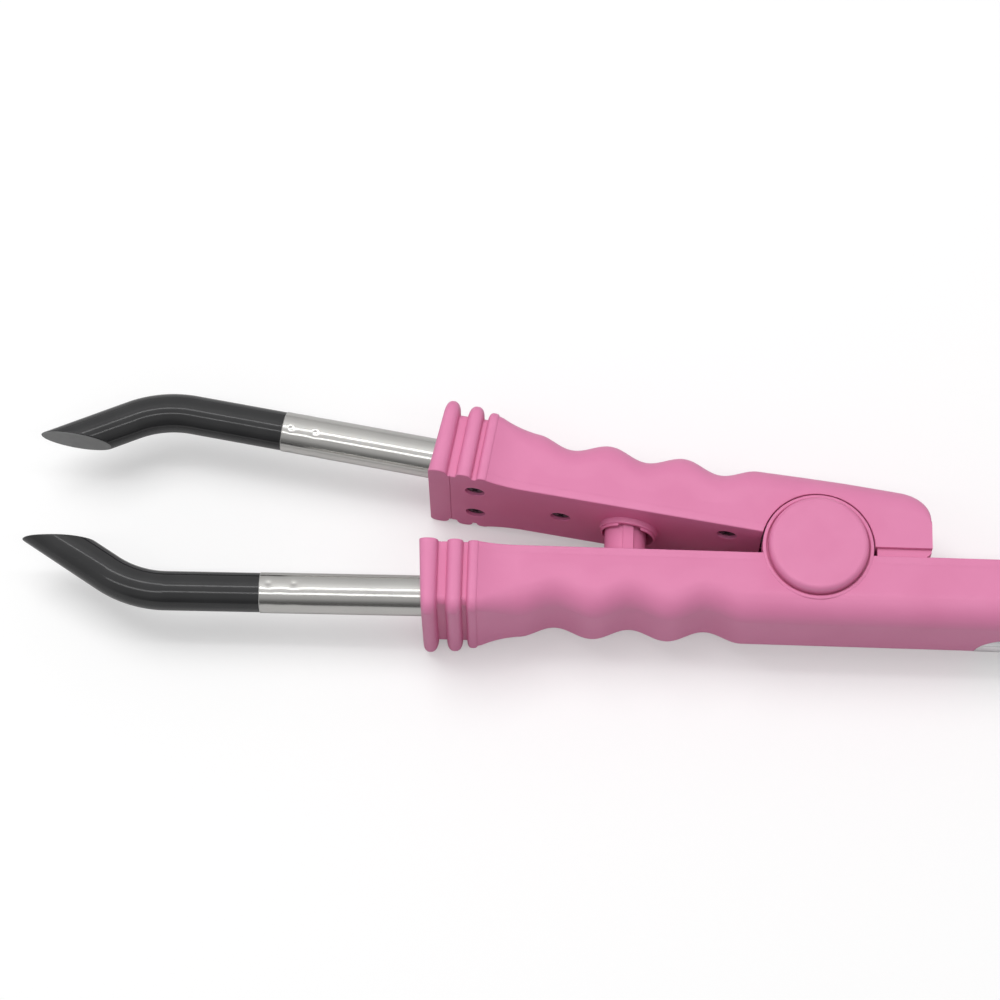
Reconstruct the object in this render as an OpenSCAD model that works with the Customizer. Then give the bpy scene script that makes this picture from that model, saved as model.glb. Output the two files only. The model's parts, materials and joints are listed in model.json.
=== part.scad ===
// Hair extension fusion iron: a sprung plier with two heated bonding tips.
// Lengths are in millimetres. The iron lies on its side: X runs along the lower arm
// with the tips towards -X, Y runs across the jaws, and Z is the hinge axis.
// The origin is on the hinge axis, at the flat face of the underside hub cap.

/* [Jaws] */
// Angle between the two inner faces when the spring holds the jaws open
open_angle = 8.6; // [5:0.1:12]
// Angle left between the inner faces when the two tips meet
shut_angle = 0.43; // [0:0.01:1.5]
// Gap left between the two tip faces when the jaws are shut
tip_gap = 0.2; // [0.1:0.05:1]
// Distance from the hinge axis to the inner face of the lower arm
lower_face = 1.7; // [1:0.1:2.5]
// Distance from the hinge axis to the inner face of the upper arm
upper_face = 1.35; // [1:0.05:2]

/* [Arms] */
// Width of the lower arm, from inner face to outer face
lower_w = 15; // [14.4:0.1:17]
// Width of the upper arm, from inner face to outer face
upper_w = 16.2; // [15.4:0.1:18]
// Depth of both arms along the hinge axis
arm_depth = 24.8; // [24:0.1:28]
// Radius along the two outer edges of an arm
edge_r = 6; // [4:0.1:7]
// Wall of the moulded shells
wall = 2; // [1.6:0.1:2.4]
// Length from the hinge axis to the front face of a collar
front_len = 89.3; // [87:0.1:94]
// Length from the hinge axis to the rear end of the lower arm
rear_len = 84; // [82:0.5:110]
// Length from the hinge axis to the end of the upper arm's tail
tail_len = 26; // [24:0.1:30]
// Radius of the tail's outer corner
tail_r = 7.5; // [4:0.1:9]

/* [Finger grips] */
// Number of finger hollows on each arm
hollow_count = 3; // [3:1:5]
// Depth of a finger hollow
hollow_depth = 2.5; // [0:0.1:2.8]
// Length from the hinge axis to the middle of the first hollow
hollow_start = 24.4; // [24:0.1:25.6]

/* [Collar] */
// Length of the collar from its front face to the foot of its last ridge
collar_len = 13.3; // [13:0.1:14]
// Length over which the collar runs into the grip
flare_len = 8.85; // [8:0.05:10]
// Distance from the collar's front face to the seam in its first groove
collar_seam = 4.9; // [4.4:0.1:5.2]
// Distance from the collar's front face to its two screws
collar_screw = 10.7; // [10.4:0.1:11.4]
// Rise of the front ridge above a groove, across the jaws
ridge_rise_w = 2.85; // [1:0.05:3.2]
// Rise of the front ridge above a groove, along the hinge axis
ridge_rise_d = 2.25; // [1:0.05:3]
// Rise of a groove above the plain arm, along the hinge axis
groove_rise = 0.85; // [0.4:0.05:1.2]
// Radius along the outer edges of a ridge
ridge_r = 3.4; // [2.6:0.1:5]

/* [Hub] */
// Diameter of the round hub rings on the lower arm
hub_d = 25; // [24.6:0.1:25.6]
// Height of a hub ring above the side of the arm
hub_rise = 0.25; // [0.15:0.05:0.6]
// Diameter of the cap in each hub ring
cap_d = 22.3; // [20:0.1:22.5]
// Height of a cap above its ring
cap_rise = 0.85; // [0.6:0.05:1.1]
// Thickness of the upper arm's knuckle between the two hub cheeks
knuckle_t = 15.8; // [14:0.1:16.4]
// Diameter of the knuckle
knuckle_d = 21; // [16:0.1:21.2]
// Diameter of the hinge pin
pin_d = 5; // [4:0.1:5.5]
// Running clearance on the radius between the hinge pin and its bushes
pin_fit = 0.05; // [0.02:0.01:0.1]

/* [Barrels and tips] */
// Outside diameter of a steel barrel
barrel_d = 9.3; // [8.6:0.1:9.6]
// Wall of a steel barrel
barrel_wall = 0.5; // [0.3:0.05:0.7]
// Diameter of a bonding tip
tip_d = 9; // [8:0.1:9.2]
// Length from the hinge axis to the joint between barrel and tip
joint_len = 125.8; // [120:0.1:135]
// Length from the hinge axis to the start of the tip's bend
bend_len = 147.3; // [144:0.1:155]
// Angle that a tip bends towards the other one
bend_angle = 33; // [25:0.5:40]
// Radius of the bend on the tip's middle line
bend_r = 25; // [18:0.5:32]
// Angle that each barrel splays outward from its arm
splay = 0.65; // [0:0.05:1.2]
// Distance that a barrel lies outward from the middle of its arm
barrel_shift = 0.8; // [0.4:0.05:0.9]
// Length of the tip's stem inside the barrel
stem_len = 12; // [10:0.5:16]
// Diameter of the cartridge heater
heater_d = 5.5; // [4:0.1:6]
// Length of the cartridge heater
heater_len = 33.4; // [28:0.1:33.4]

/* [Guide post and spring] */
// Length from the hinge axis to the guide post
post_len = 43.1; // [42.6:0.1:43.6]
// Outside diameter of the guide post
post_d = 9.4; // [8.8:0.1:9.8]
// Height of the guide post above the lower arm's inner face
post_h = 13; // [12.4:0.1:13.4]
// Width of the key along the guide post
key_w = 2.4; // [1.6:0.1:3]
// Distance from the middle of the post to the middle of its key, towards the hinge
key_shift = 0.6; // [0:0.1:0.8]
// Diameter of the hole in the upper cover that the post slides in
guide_d = 11.8; // [11.6:0.1:12.4]
// Height of the raised ring round that hole
guide_rise = 1.3; // [0.6:0.1:1.4]
// Height of the thin lip round the hole above the raised ring
guide_lip = 0.6; // [0.2:0.1:0.7]
// Wire of the return spring
spring_wire = 0.6; // [0.5:0.05:0.8]
// Middle diameter of the return spring
spring_d = 4.6; // [4.2:0.1:5.2]
// Number of turns of the return spring
spring_turns = 10; // [7:1:12]

/* [Covers and screws] */
// Thickness of the inner cover plates
cover_t = 2; // [1.6:0.1:2.2]
// Length from the hinge axis to the two screws near the hub
hub_screw_at = 20.7; // [19:0.1:24]
// Distance of a paired screw from the middle of the cover
screw_side = 6.4; // [6.3:0.1:6.8]
// Diameter of a screw's shank
screw_d = 2.3; // [2:0.1:2.4]
// Diameter of a screw's head
screw_head_d = 4.2; // [3.8:0.1:4.6]

/* [Power] */
// Length from the hinge axis to the middle of the power switch
switch_at = 62.6; // [62:0.1:64]
// Tilt of the rocker to each side of level
rocker_tilt = 9; // [5:0.5:9]
// Length from the hinge axis to the indicator
lamp_at = 46; // [40:0.5:48]
// Diameter of the hole for the mains cord
cord_hole_d = 5.2; // [4:0.1:5.6]

/* [Hidden] */
$fn = 64;
half = arm_depth / 2;
slip = 0.05;
play = 0.1;
lift = half + hub_rise + cap_rise;
hub_r = hub_d / 2;
hub_gap = 0.25;
cheek_in = knuckle_t / 2 + 0.4;
cap_floor = half - 0.8;
head_floor = cap_floor - 1.6;
cover_from = hub_r + 0.35;
over = 40;
hollow_w = [lower_w - hollow_depth - wall, upper_w - hollow_depth - wall];
collar_hollow_end = front_len - collar_len - flare_len;
hollow_pitch = (collar_hollow_end - hollow_start) / (hollow_count - 0.5);
clamp_at = front_len - collar_screw;
clamp_l = 10.6;
lower_barrel_s = lower_w / 2 + barrel_shift;
upper_barrel_s = upper_w / 2 + barrel_shift;
barrel_rear = clamp_at - clamp_l / 2 - 5.1;
boss_d = screw_d + 2.5;
pilot_r = screw_d / 2 + slip;
head_sink = 0.1;
head_h = 0.9;
tail_gap = 2.1;
tail_face = lower_face - tail_gap;
post_floor = 1;
post_flange_d = post_d + 3.2;
screw_mid = (post_len + post_flange_d / 2 + barrel_rear) / 2;
post_bore = post_d - 2.2;
post_reach = 8.6;
guide_at = post_len - 0.15;
stud_at = post_len + 0.3;
key_x = key_shift - post_len;
key_reach = post_d / 2 + 0.5;
stud_tip = 4.7;
rocker_s = 1.2;
board_s = 7.6;
board_t = 1.6;
board_x0 = hub_r + 3;
board_x1 = switch_at - 12.8;
gland_s = cover_t + 4.3;
lead_d = 1.1;
lead_z = 3.2;
EPS = 0.02;

// Each arm is drawn in its own frame: inner face on y = 0, body towards -Y,
// tips towards -X, and z = 0 halfway between its two sides.
module lower_frame() {
    translate([0, -lower_face, lift]) children();
}

module upper_frame() {
    translate([0, 0, lift]) rotate([0, 0, -open_angle])
        translate([0, upper_face, 0]) mirror([0, 1, 0]) children();
}

// The barrel's frame: X along its axis, with its middle under the clamp.
module barrel_frame(arm_s) {
    translate([-clamp_at, -arm_s, 0]) rotate([0, 0, splay]) children();
}

module across(x, s, z) {
    translate([x, -s, z]) rotate([-90, 0, 0]) children();
}

module along(x) {
    translate([x, 0, 0]) rotate([0, 90, 0]) children();
}

module block(x0, x1, s0, s1, half_z) {
    translate([x0, -s1, -half_z]) cube([x1 - x0, s1 - s0, 2 * half_z]);
}

// One section of an arm at x: a rectangle w by 2h whose outer corners have radius r.
function section(x, w, h, r, e = 0.3) = concat(
    [[x, 0, e - h], [x, 0, h - e], [x, -e, h]],
    [for (t = [0:15:90]) [x, -(w - r) - r * sin(t), (h - r) + r * cos(t)]],
    [for (t = [0:15:90]) [x, -(w - r) - r * cos(t), -(h - r) - r * sin(t)]],
    [[x, -e, -h]]
);

// A skin through sections that all have the same number of points.
module skin(sections) {
    n = len(sections[0]);
    last = len(sections) - 1;
    points = [for (s = sections) for (p = s) p];
    sides = [for (i = [0:last - 1]) for (j = [0:n - 1])
        let (a = i * n + j, b = i * n + (j + 1) % n)
        for (f = [[a, b + n, b], [a, a + n, b + n]]) f];
    front = [[for (j = [0:n - 1]) j]];
    back = [[for (j = [0:n - 1]) last * n + n - 1 - j]];
    polyhedron(points = points, faces = concat(front, sides, back), convexity = 6);
}

// A ridge with steep sides and a rounded top, as [length from the hinge, swell] pairs.
// Its half-width is b, swell 1 is the front ridge's full height, and front and back are
// the swells that it falls to.
function ridge(at, b, top, front, back) = [for (t = [0:22.5:180])
    let (foot = t < 90 ? front : back, c = cos(t))
    [at + b * sign(c) * pow(abs(c), 0.6), foot + (top - foot) * pow(sin(t), 0.8)]];

function collar(w) = let (
    f = front_len,
    steps = concat(
        ridge(f - 1.85, 1.85, 1, 0.35, 0),
        ridge(f - 8, 1.3, 0.88, 0, 0),
        ridge(f - 12, 0.95, 0.58, 0, 0.4)))
    [for (p = steps) section(-p[0], w - 0.35 + ridge_rise_w * p[1],
        half + groove_rise + ridge_rise_d * p[1], ridge_r - 1.6 * (1 - p[1]))];

// The collar runs into the grip in a hollow curve.
function flare(w) = [for (k = [1:5]) let (t = 1 - k / 6, rise = pow(t, 2.2))
    section(-(collar_hollow_end + t * (front_len - 13.3 - collar_hollow_end)),
        w + rise, half + 1.7 * rise, edge_r - (edge_r - 2.4) * t)];

// Finger hollows as a wave along the outer face.
function grips(w) = [for (k = [0:hollow_count * 8])
    let (at = collar_hollow_end - k * hollow_pitch / 8,
        wave = (1 + cos(360 * (at - hollow_start) / hollow_pitch)) / 2)
    section(-at, w - hollow_depth * wave, half, edge_r)];

// The rear end of the lower arm is rounded over with radius end_r.
function rear_end(w, end_r = 4) = [for (t = [0:22.5:90])
    let (inset = end_r * (1 - cos(t)))
    section(rear_len - end_r * (1 - sin(t)), w - inset, half - inset, edge_r - inset / 2)];

// The tail widens past the hub and turns its outer corner with radius tail_r.
function tail(w) = concat(
    [section(-6, w + 0.35, half, edge_r), section(4, w + 0.6, half, edge_r)],
    [for (t = [0:15:90]) section(tail_len + 0.6 - tail_r * (1 - sin(t)),
        w + 0.6 - tail_r * (1 - cos(t)), half, min(edge_r, (w - tail_r) / 2 + 2))]);

module lower_form() {
    skin(concat(collar(lower_w), flare(lower_w), grips(lower_w), rear_end(lower_w)));
}

module upper_form() {
    skin(concat(collar(upper_w), flare(upper_w), grips(upper_w), tail(upper_w)));
}

// Hollow of an arm from x0 to x1, floor depth s, with rounded outer corners.
module hollow(x0, x1, s, half_z, r) {
    translate([x0, 0, 0]) rotate([90, 0, 90]) linear_extrude(x1 - x0) union() {
        translate([-(s - r), -half_z]) square([s - r + 1, 2 * half_z]);
        translate([-s, -(half_z - r)]) square([s, 2 * (half_z - r)]);
        for (side = [-1, 1]) translate([-(s - r), side * (half_z - r)]) circle(r);
    }
}

// What both shells have in front: hollow, cover seat, barrel bore and collar hollow.
module front_hollows(w, s, x_end) {
    hollow(-collar_hollow_end - EPS, x_end, s, half - wall, edge_r - wall);
    hollow(-(front_len - collar_seam), -collar_hollow_end, w - 1.8, half - 1.2, 2.5);
    block(-(front_len - collar_seam), play - cover_from, -1, cover_t + slip, over);
}

module barrel_clearance(arm_s, r) {
    barrel_frame(arm_s) along(-60) cylinder(h = 60 + clamp_at - barrel_rear + 0.3, r = r);
}

// Cradle ribs and screw posts that carry the barrel and its clamp.
module cradle(w, arm_s) {
    floor_s = w - 1.8;
    difference() {
        union() {
            for (x = [-clamp_at - clamp_l / 2, -clamp_at + clamp_l / 2 - 1.8])
                block(x, x + 1.8, arm_s - 2.2, floor_s + EPS, half - 1.2);
            for (side = [-1, 1]) across(-clamp_at, floor_s + EPS, side * screw_side)
                cylinder(h = floor_s - arm_s + 2.2, d = boss_d);
        }
        barrel_clearance(arm_s, barrel_d / 2 + slip);
    }
}

module screw_posts(places, floor_s) {
    for (p = places) across(p[0], floor_s + EPS, p[1])
        cylinder(h = floor_s + EPS - cover_t - 2 * slip, d = boss_d);
}

module pilot_holes(places, depth) {
    for (p = places) across(p[0], depth, p[1]) cylinder(h = depth, r = pilot_r);
}

module screw_holes(places) {
    for (p = places) {
        across(p[0], cover_t + 1, p[1]) cylinder(h = cover_t + 2, r = pilot_r + 0.1);
        across(p[0], head_sink + head_h, p[1]) cylinder(h = 3, d = screw_head_d + 0.3);
    }
}

module screw(length) {
    difference() {
        union() {
            translate([0, 0, -head_h]) cylinder(h = head_h, d = screw_head_d);
            translate([0, 0, -head_h - length]) cylinder(h = length + EPS, d = screw_d);
        }
        for (turn = [45, 135]) rotate([0, 0, turn])
            cube([screw_head_d * 0.62, 0.6, 1], center = true);
    }
}

module screws(places, length) {
    for (p = places) across(p[0], head_sink, p[1]) screw(length);
}

cover_places = [
    [-hub_screw_at, -screw_side], [-hub_screw_at, screw_side], [-screw_mid, 0],
    [-clamp_at, -screw_side], [-clamp_at, screw_side]
];
rear_places = [[switch_at - 10, 0], [rear_len - 10, -screw_side], [rear_len - 10, screw_side]];
board_places = [[board_x0 + 4, 0], [board_x1 - 7.8, 6.6]];

module lower_shell() {
    color("#dc88ae") lower_frame() difference() {
        union() {
            difference() {
                lower_form();
                front_hollows(lower_w, hollow_w[0], rear_len - 4);
                block(cover_from - play, rear_len - 4, -1, cover_t + slip, over);
                barrel_clearance(lower_barrel_s, barrel_d / 2 + 0.2);
            }
            cradle(lower_w, lower_barrel_s);
            screw_posts([cover_places[0], cover_places[1], cover_places[2]], hollow_w[0]);
            screw_posts(rear_places, hollow_w[0]);
            for (p = board_places) across(p[0], hollow_w[0] + EPS, p[1])
                cylinder(h = hollow_w[0] - board_s - board_t, d = 4.4);
            for (side = [0, 1]) mirror([0, 0, side]) translate([0, lower_face, cheek_in])
                cylinder(h = half + hub_rise - cheek_in, r = hub_r);
        }
        pilot_holes([for (k = [0:2]) cover_places[k]], 9);
        pilot_holes([cover_places[3], cover_places[4]], lower_w - 3);
        pilot_holes(rear_places, 9);
        pilot_holes(board_places, hollow_w[0] + 0.6);
        hub_bores();
        along(rear_len - 6) translate([0, -gland_s, 0]) cylinder(h = 8, d = gland_neck_d());
    }
}

// Pin bore, head recess and cap seat in both cheeks of the hub.
module hub_bores() {
    translate([0, lower_face, -half - 3]) cylinder(h = arm_depth + 6, d = pin_d + 2 * pin_fit);
    for (side = [0, 1]) mirror([0, 0, side]) translate([0, lower_face, 0]) {
        translate([0, 0, head_floor]) cylinder(h = 8, d = pin_d + 3.6);
        translate([0, 0, cap_floor]) cylinder(h = 8, d = cap_d + 2 * play);
    }
}

function gland_neck_d() = cord_hole_d + 2.8;

// A cover plate is the slice of its arm's own form next to the inner face.
module cover_plate(x0, x1) {
    intersection() {
        children();
        block(x0, x1, -1, cover_t, over);
    }
}

module lower_front_cover() {
    color("#c8769c") lower_frame() difference() {
        cover_plate(-(front_len - collar_seam - play), -cover_from) lower_form();
        screw_holes(cover_places);
        across(-post_len, cover_t + 1, 0) cylinder(h = cover_t + 2, d = post_d + 2 * play);
        block(key_x - key_w / 2 - play, key_x + key_w / 2 + play, -1, cover_t + 1,
            key_reach + play);
    }
}

module lower_rear_cover() {
    color("#d27fa6") lower_frame() difference() {
        cover_plate(cover_from, rear_len - 4 - play) lower_form();
        screw_holes(rear_places);
        block(switch_at - 6.75, switch_at + 6.75, -1, cover_t + 1, 4.45);
        across(lamp_at, cover_t + 1, 0) cylinder(h = cover_t + 2, d = 4.1);
    }
}

// Knuckle, tail and hub recess of the upper arm.
module upper_body() {
    difference() {
        upper_form();
        for (side = [0, 1]) mirror([0, 0, side]) translate([0, upper_face, knuckle_t / 2])
            cylinder(h = half, r = hub_r + hub_gap);
        front_hollows(upper_w, hollow_w[1], -knuckle_d / 2 - 1);
        barrel_clearance(upper_barrel_s, barrel_d / 2 + 0.2);
        open_world() {
            translate([7, -12, -20]) cube([40, 12 - tail_face, 40]);
            translate([tail_len, -20, -20]) cube([20, 60, 40]);
        }
        hollow(hub_r + 1.6, tail_len - 3.4, upper_w - 5, half - wall - 0.6, 2.5);
    }
}

// Draws its children in the frame of the resting iron, from inside the upper arm's frame.
module open_world() {
    mirror([0, 1, 0]) translate([0, -upper_face, 0]) rotate([0, 0, open_angle]) children();
}

module upper_shell() {
    color("#de8ab0") upper_frame() difference() {
        union() {
            upper_body();
            translate([0, upper_face, -knuckle_t / 2]) cylinder(h = knuckle_t, d = knuckle_d);
            cradle(upper_w, upper_barrel_s);
            screw_posts([cover_places[0], cover_places[1], cover_places[2]], hollow_w[1]);
            across(-stud_at, hollow_w[1] + EPS, 0)
                cylinder(h = hollow_w[1] + EPS - stud_tip, d = 5);
            open_world() for (side = [-1, 1]) translate([19, -tail_face, side * 5.5])
                rotate([-90, 0, 0]) cylinder(h = 10.4, d = boss_d);
        }
        pilot_holes([for (k = [0:2]) cover_places[k]], 9.6);
        pilot_holes([cover_places[3], cover_places[4]], upper_w - 3);
        translate([0, upper_face, -20]) cylinder(h = 40, d = bush_d());
        open_world() for (side = [-1, 1]) translate([19, -tail_face - 1, side * 5.5])
            rotate([-90, 0, 0]) cylinder(h = 7, r = pilot_r);
    }
}

function bush_d() = pin_d + 2;

module upper_cover() {
    color("#8f4a6c") upper_frame() difference() {
        union() {
            cover_plate(-(front_len - collar_seam - play), -cover_from) upper_form();
            across(-guide_at, 0.4, 0)
                cylinder(h = guide_rise + 0.4, d1 = guide_d + 1.8, d2 = guide_d + 1.3);
            across(-guide_at, 0.4, 0)
                cylinder(h = guide_rise + guide_lip + 0.4, d = guide_d + 0.7);
        }
        screw_holes(cover_places);
        across(-guide_at, cover_t + 1, 0) cylinder(h = cover_t + 4, d = guide_d);
        block(key_x - key_w / 2 - 1.6, key_x + key_w / 2 + 1.1, -guide_rise - 2, -guide_rise, 9);
    }
}

// The plate under the tail rests on the lower arm and stops the jaws when open.
module tail_cover() {
    x0 = hub_r + 0.8;
    color("#d884ab") translate([0, 0, lift]) difference() {
        translate([0, 0, -(half - 1)]) linear_extrude(2 * (half - 1)) polygon([
            [x0, -lower_face + play], [tail_len - 1.8, -lower_face + play],
            [tail_len - 0.5, -lower_face + play + 1.2], [tail_len - 0.5, -tail_face],
            [x0, -tail_face]
        ]);
        for (side = [-1, 1]) translate([19, -5, side * 5.5]) rotate([-90, 0, 0]) {
            cylinder(h = 8, r = pilot_r + 0.1);
            cylinder(h = 5 - lower_face + play + 1, d = screw_head_d + 0.3);
        }
    }
}

module barrel(arm_s) {
    front = joint_len - clamp_at;
    color("#d2cfc8") barrel_frame(arm_s) difference() {
        along(-front) cylinder(h = joint_len - barrel_rear, d = barrel_d);
        along(-front - 1) cylinder(h = 100, d = barrel_d - 2 * barrel_wall);
        for (row = [1.8, 7.6], turn = [0:90:270]) rotate([turn, 0, 0])
            translate([row - front, 0, barrel_d / 2 + 0.6]) sphere(r = 0.85);
    }
}

module lower_barrel() {
    lower_frame() barrel(lower_barrel_s);
}

module upper_barrel() {
    upper_frame() barrel(upper_barrel_s);
}

// Depth of a tip's flat face from its own axis, so that the two faces meet when shut.
flat_at = 173;
axis_out = (flat_at - clamp_at) * tan(splay);
lower_axis = -(lower_face + lower_barrel_s + axis_out);
upper_axis = upper_face + upper_barrel_s + axis_out;
flat_h = (upper_axis - lower_axis + flat_at * tan(shut_angle) - tip_gap) / 2;

module tip(arm_s) {
    joint = joint_len - clamp_at;
    bend = bend_len - clamp_at;
    stem_r = barrel_d / 2 - barrel_wall - slip;
    color("#2b2b2b") barrel_frame(arm_s) difference() {
        union() {
            along(-joint) cylinder(h = stem_len, r = stem_r);
            along(-bend) cylinder(h = bend - joint, d = tip_d);
            translate([-bend, bend_r, 0]) rotate([0, 0, -90 - bend_angle])
                rotate_extrude(angle = bend_angle) translate([bend_r, 0]) circle(d = tip_d - play);
            translate([-bend, bend_r, 0]) rotate([0, 0, -bend_angle])
                translate([0, -bend_r, 0]) along(-30) cylinder(h = 30, d = tip_d);
        }
        translate([clamp_at - flat_at, flat_h, 0])
            rotate([0, 0, -splay - shut_angle / 2]) translate([-60, 0, -10]) cube([90, 40, 20]);
        along(-joint - heater_len + stem_len - 0.3)
            cylinder(h = heater_len + 2, d = heater_d + 2 * slip);
    }
}

module lower_tip() {
    lower_frame() tip(lower_barrel_s);
}

module upper_tip() {
    upper_frame() tip(upper_barrel_s);
}

module heater(arm_s) {
    color("#e9e4d8") barrel_frame(arm_s)
        along(clamp_at - joint_len + stem_len - heater_len) cylinder(h = heater_len, d = heater_d);
}

module lower_heater() {
    lower_frame() heater(lower_barrel_s);
}

module upper_heater() {
    upper_frame() heater(upper_barrel_s);
}

// Ceramic tube that keeps the leads off the barrel.
module lead_tube(arm_s) {
    front = clamp_at - joint_len + stem_len + 0.3;
    color("#f0ede4") barrel_frame(arm_s) difference() {
        along(front) cylinder(h = clamp_at - barrel_rear - front, r = barrel_d / 2 - barrel_wall - 0.1);
        along(front - 1) cylinder(h = 100, r = barrel_d / 2 - barrel_wall - 0.9);
    }
}

module lower_lead_tube() {
    lower_frame() lead_tube(lower_barrel_s);
}

module upper_lead_tube() {
    upper_frame() lead_tube(upper_barrel_s);
}

// Clamp over the barrel, held by the two long screws of the collar.
module clamp(arm_s) {
    color("#6b4a35") difference() {
        block(-clamp_at - clamp_l / 2, -clamp_at + clamp_l / 2, cover_t + play, arm_s - 2.5,
            screw_side + 2.8);
        barrel_clearance(arm_s, barrel_d / 2 + slip);
        for (side = [-1, 1]) across(-clamp_at, arm_s, side * screw_side)
            cylinder(h = 12, r = pilot_r + 0.1);
    }
}

module lower_clamp() {
    lower_frame() clamp(lower_barrel_s);
}

module upper_clamp() {
    upper_frame() clamp(upper_barrel_s);
}

// Hollow post that holds the spring, keyed so that it can't turn.
module guide_post() {
    color("#dd8bb0") lower_frame() difference() {
        union() {
            across(-post_len, post_reach, 0) cylinder(h = post_reach + post_h, d = post_d);
            across(-post_len, cover_t + 1.5, 0) cylinder(h = 1.4, d = post_flange_d);
            block(key_x - key_w / 2, key_x + key_w / 2, -post_h, cover_t, key_reach);
        }
        across(-post_len, post_reach - post_floor, 0) cylinder(h = 40, d = post_bore);
    }
}

// Return spring: a wire tube swept along a helix, with a short straight end at each seat.
spring_low = post_reach - post_floor - 0.3;
stud_y = (upper_face + stud_tip) * cos(open_angle) + stud_at * sin(open_angle) + lower_face;
spring_high = stud_y - 2.5 * sin(open_angle) - 0.35;
spring_len = spring_high + spring_low;
spring_path = concat(
    [[spring_d / 2, 0, 0]],
    [for (k = [0:spring_turns * 8]) let (t = 45 * k, rise = k / (spring_turns * 8))
        [spring_d / 2 * cos(t), spring_d / 2 * sin(t),
            1.3 * spring_wire + rise * (spring_len - 2.6 * spring_wire)]],
    [[spring_d / 2, 0, spring_len]]);

// Rings across a path: the first and last lie square to the axis.
function unit(v) = v / norm(v);

function ring_normal(path, i) = i == 0 ? unit(path[1] - path[0])
    : i == len(path) - 1 ? unit(path[i] - path[i - 1]) : unit(path[i + 1] - path[i - 1]);

function ring(path, i, r, sides, up) = let (
    n = ring_normal(path, i),
    u = unit(cross(up, n)),
    v = cross(n, u))
    [for (k = [0:sides - 1]) let (t = 360 * k / sides) path[i] + r * (cos(t) * u + sin(t) * v)];

module sweep(path, r, sides, up = [0.3, 0.2, 1]) {
    skin([for (i = [0:len(path) - 1]) ring(path, i, r, sides, up)]);
}

// Least gap of the spring's wire to itself, between points a turn or more apart.
spring_self_gap = min([for (i = [1:len(spring_path) - 2], j = [i + 6:1:len(spring_path) - 2])
    norm(spring_path[i] - spring_path[j])]) - spring_wire;
echo(spring_self_gap = spring_self_gap);

module return_spring() {
    color("#b9bcc0") lower_frame() across(-post_len, spring_low, 0)
        sweep(spring_path, spring_wire / 2, 6, [1, 0.15, 0.1]);
}

module pivot_pin() {
    color("#9a9da1") translate([0, 0, lift]) difference() {
        union() {
            translate([0, 0, -head_floor + 0.02]) cylinder(h = 2 * head_floor - 0.02, d = pin_d);
            translate([0, 0, head_floor]) cylinder(h = 1.5, d = pin_d + 3.2);
            translate([0, 0, -head_floor - 1.4]) cylinder(h = 1.5, d = pin_d - 1);
        }
        translate([0, 0, head_floor + 1.5]) cube([5.4, 1, 1.4], center = true);
    }
}

module pivot_nut() {
    color("#8d9094") translate([0, 0, lift]) mirror([0, 0, 1])
        translate([0, 0, head_floor]) difference() {
            cylinder(h = 1.5, d = pin_d + 3.2, $fn = 6);
            translate([0, 0, -1]) cylinder(h = 4, d = pin_d - 1 + 2 * slip);
        }
}

module pivot_bushes() {
    color("#c9a659") translate([0, 0, lift])
        for (side = [0, 1]) mirror([0, 0, side]) difference() {
            union() {
                translate([0, 0, knuckle_t / 2 - 6]) cylinder(h = 6.1, d = bush_d() - 2 * 0.02);
                translate([0, 0, knuckle_t / 2]) cylinder(h = 0.36, d = pin_d + 6);
            }
            cylinder(h = 20, d = pin_d + 2 * pin_fit);
        }
}

// Domed cap in a hub ring: a turned profile with a rounded rim, hollow underneath.
module hub_cap() {
    r = cap_d / 2;
    top = half + hub_rise + cap_rise;
    soft = cap_rise - slip;
    rotate_extrude() difference() {
        union() {
            translate([0, cap_floor]) square([r, top - soft - cap_floor]);
            translate([0, cap_floor]) square([r - soft, top - cap_floor]);
            translate([r - soft, top - soft]) circle(soft);
        }
        translate([-1, cap_floor - 1]) square([r - 0.4, 1.75]);
        translate([-r, cap_floor - 1]) square([r, 6]);
    }
}

module upside_cap() {
    color("#dd86ab") translate([0, 0, lift]) hub_cap();
}

module underside_cap() {
    color("#dd86ab") translate([0, 0, lift]) mirror([0, 0, 1]) hub_cap();
}

module lower_screws() {
    color("#3c3436") lower_frame() {
        screws([for (k = [0:2]) cover_places[k]], 6.5);
        screws([cover_places[3], cover_places[4]], lower_w - 5);
    }
}

module rear_screws() {
    color("#3c3436") lower_frame() screws(rear_places, 6.5);
}

module upper_screws() {
    color("#3c3436") {
        upper_frame() {
            screws([for (k = [0:2]) cover_places[k]], 6.5);
            screws([cover_places[3], cover_places[4]], upper_w - 5);
        }
        translate([0, 0, lift]) for (side = [-1, 1])
            translate([19, -lower_face + play + 0.9, side * 5.5]) rotate([90, 0, 0]) tail_screw();
    }
}

module tail_screw() {
    cylinder(h = 0.8, d = screw_head_d);
    translate([0, 0, -5]) cylinder(h = 5 + EPS, d = screw_d);
}

module circuit_board() {
    color("#2f6b45") lower_frame() difference() {
        block(board_x0, board_x1, board_s, board_s + board_t, half - 3.1);
        for (p = board_places) across(p[0], board_s + 3, p[1]) cylinder(h = 6, r = pilot_r);
    }
}

module board_components() {
    top = board_s - slip;
    color("#4a4f58") lower_frame() translate([board_x0, 0, 0]) {
        block(8.5, 14.5, top - 4.2, top, 3);
        across(20, top, -4.5) cylinder(h = 4.8, d = 6.3);
        translate([0, 0, 5.4]) block(16.5, 23, top - 2.4, top, 1.2);
        translate([0, 0, -6.2]) block(9, 15, top - 2.4, top, 1.2);
        translate([0, 0, 6.2]) block(9, 14, top - 3, top, 1.6);
    }
}

module board_screws() {
    color("#8b8e92") lower_frame() for (p = board_places)
        across(p[0], board_s - head_h, p[1]) screw(board_t + 1);
}

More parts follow.
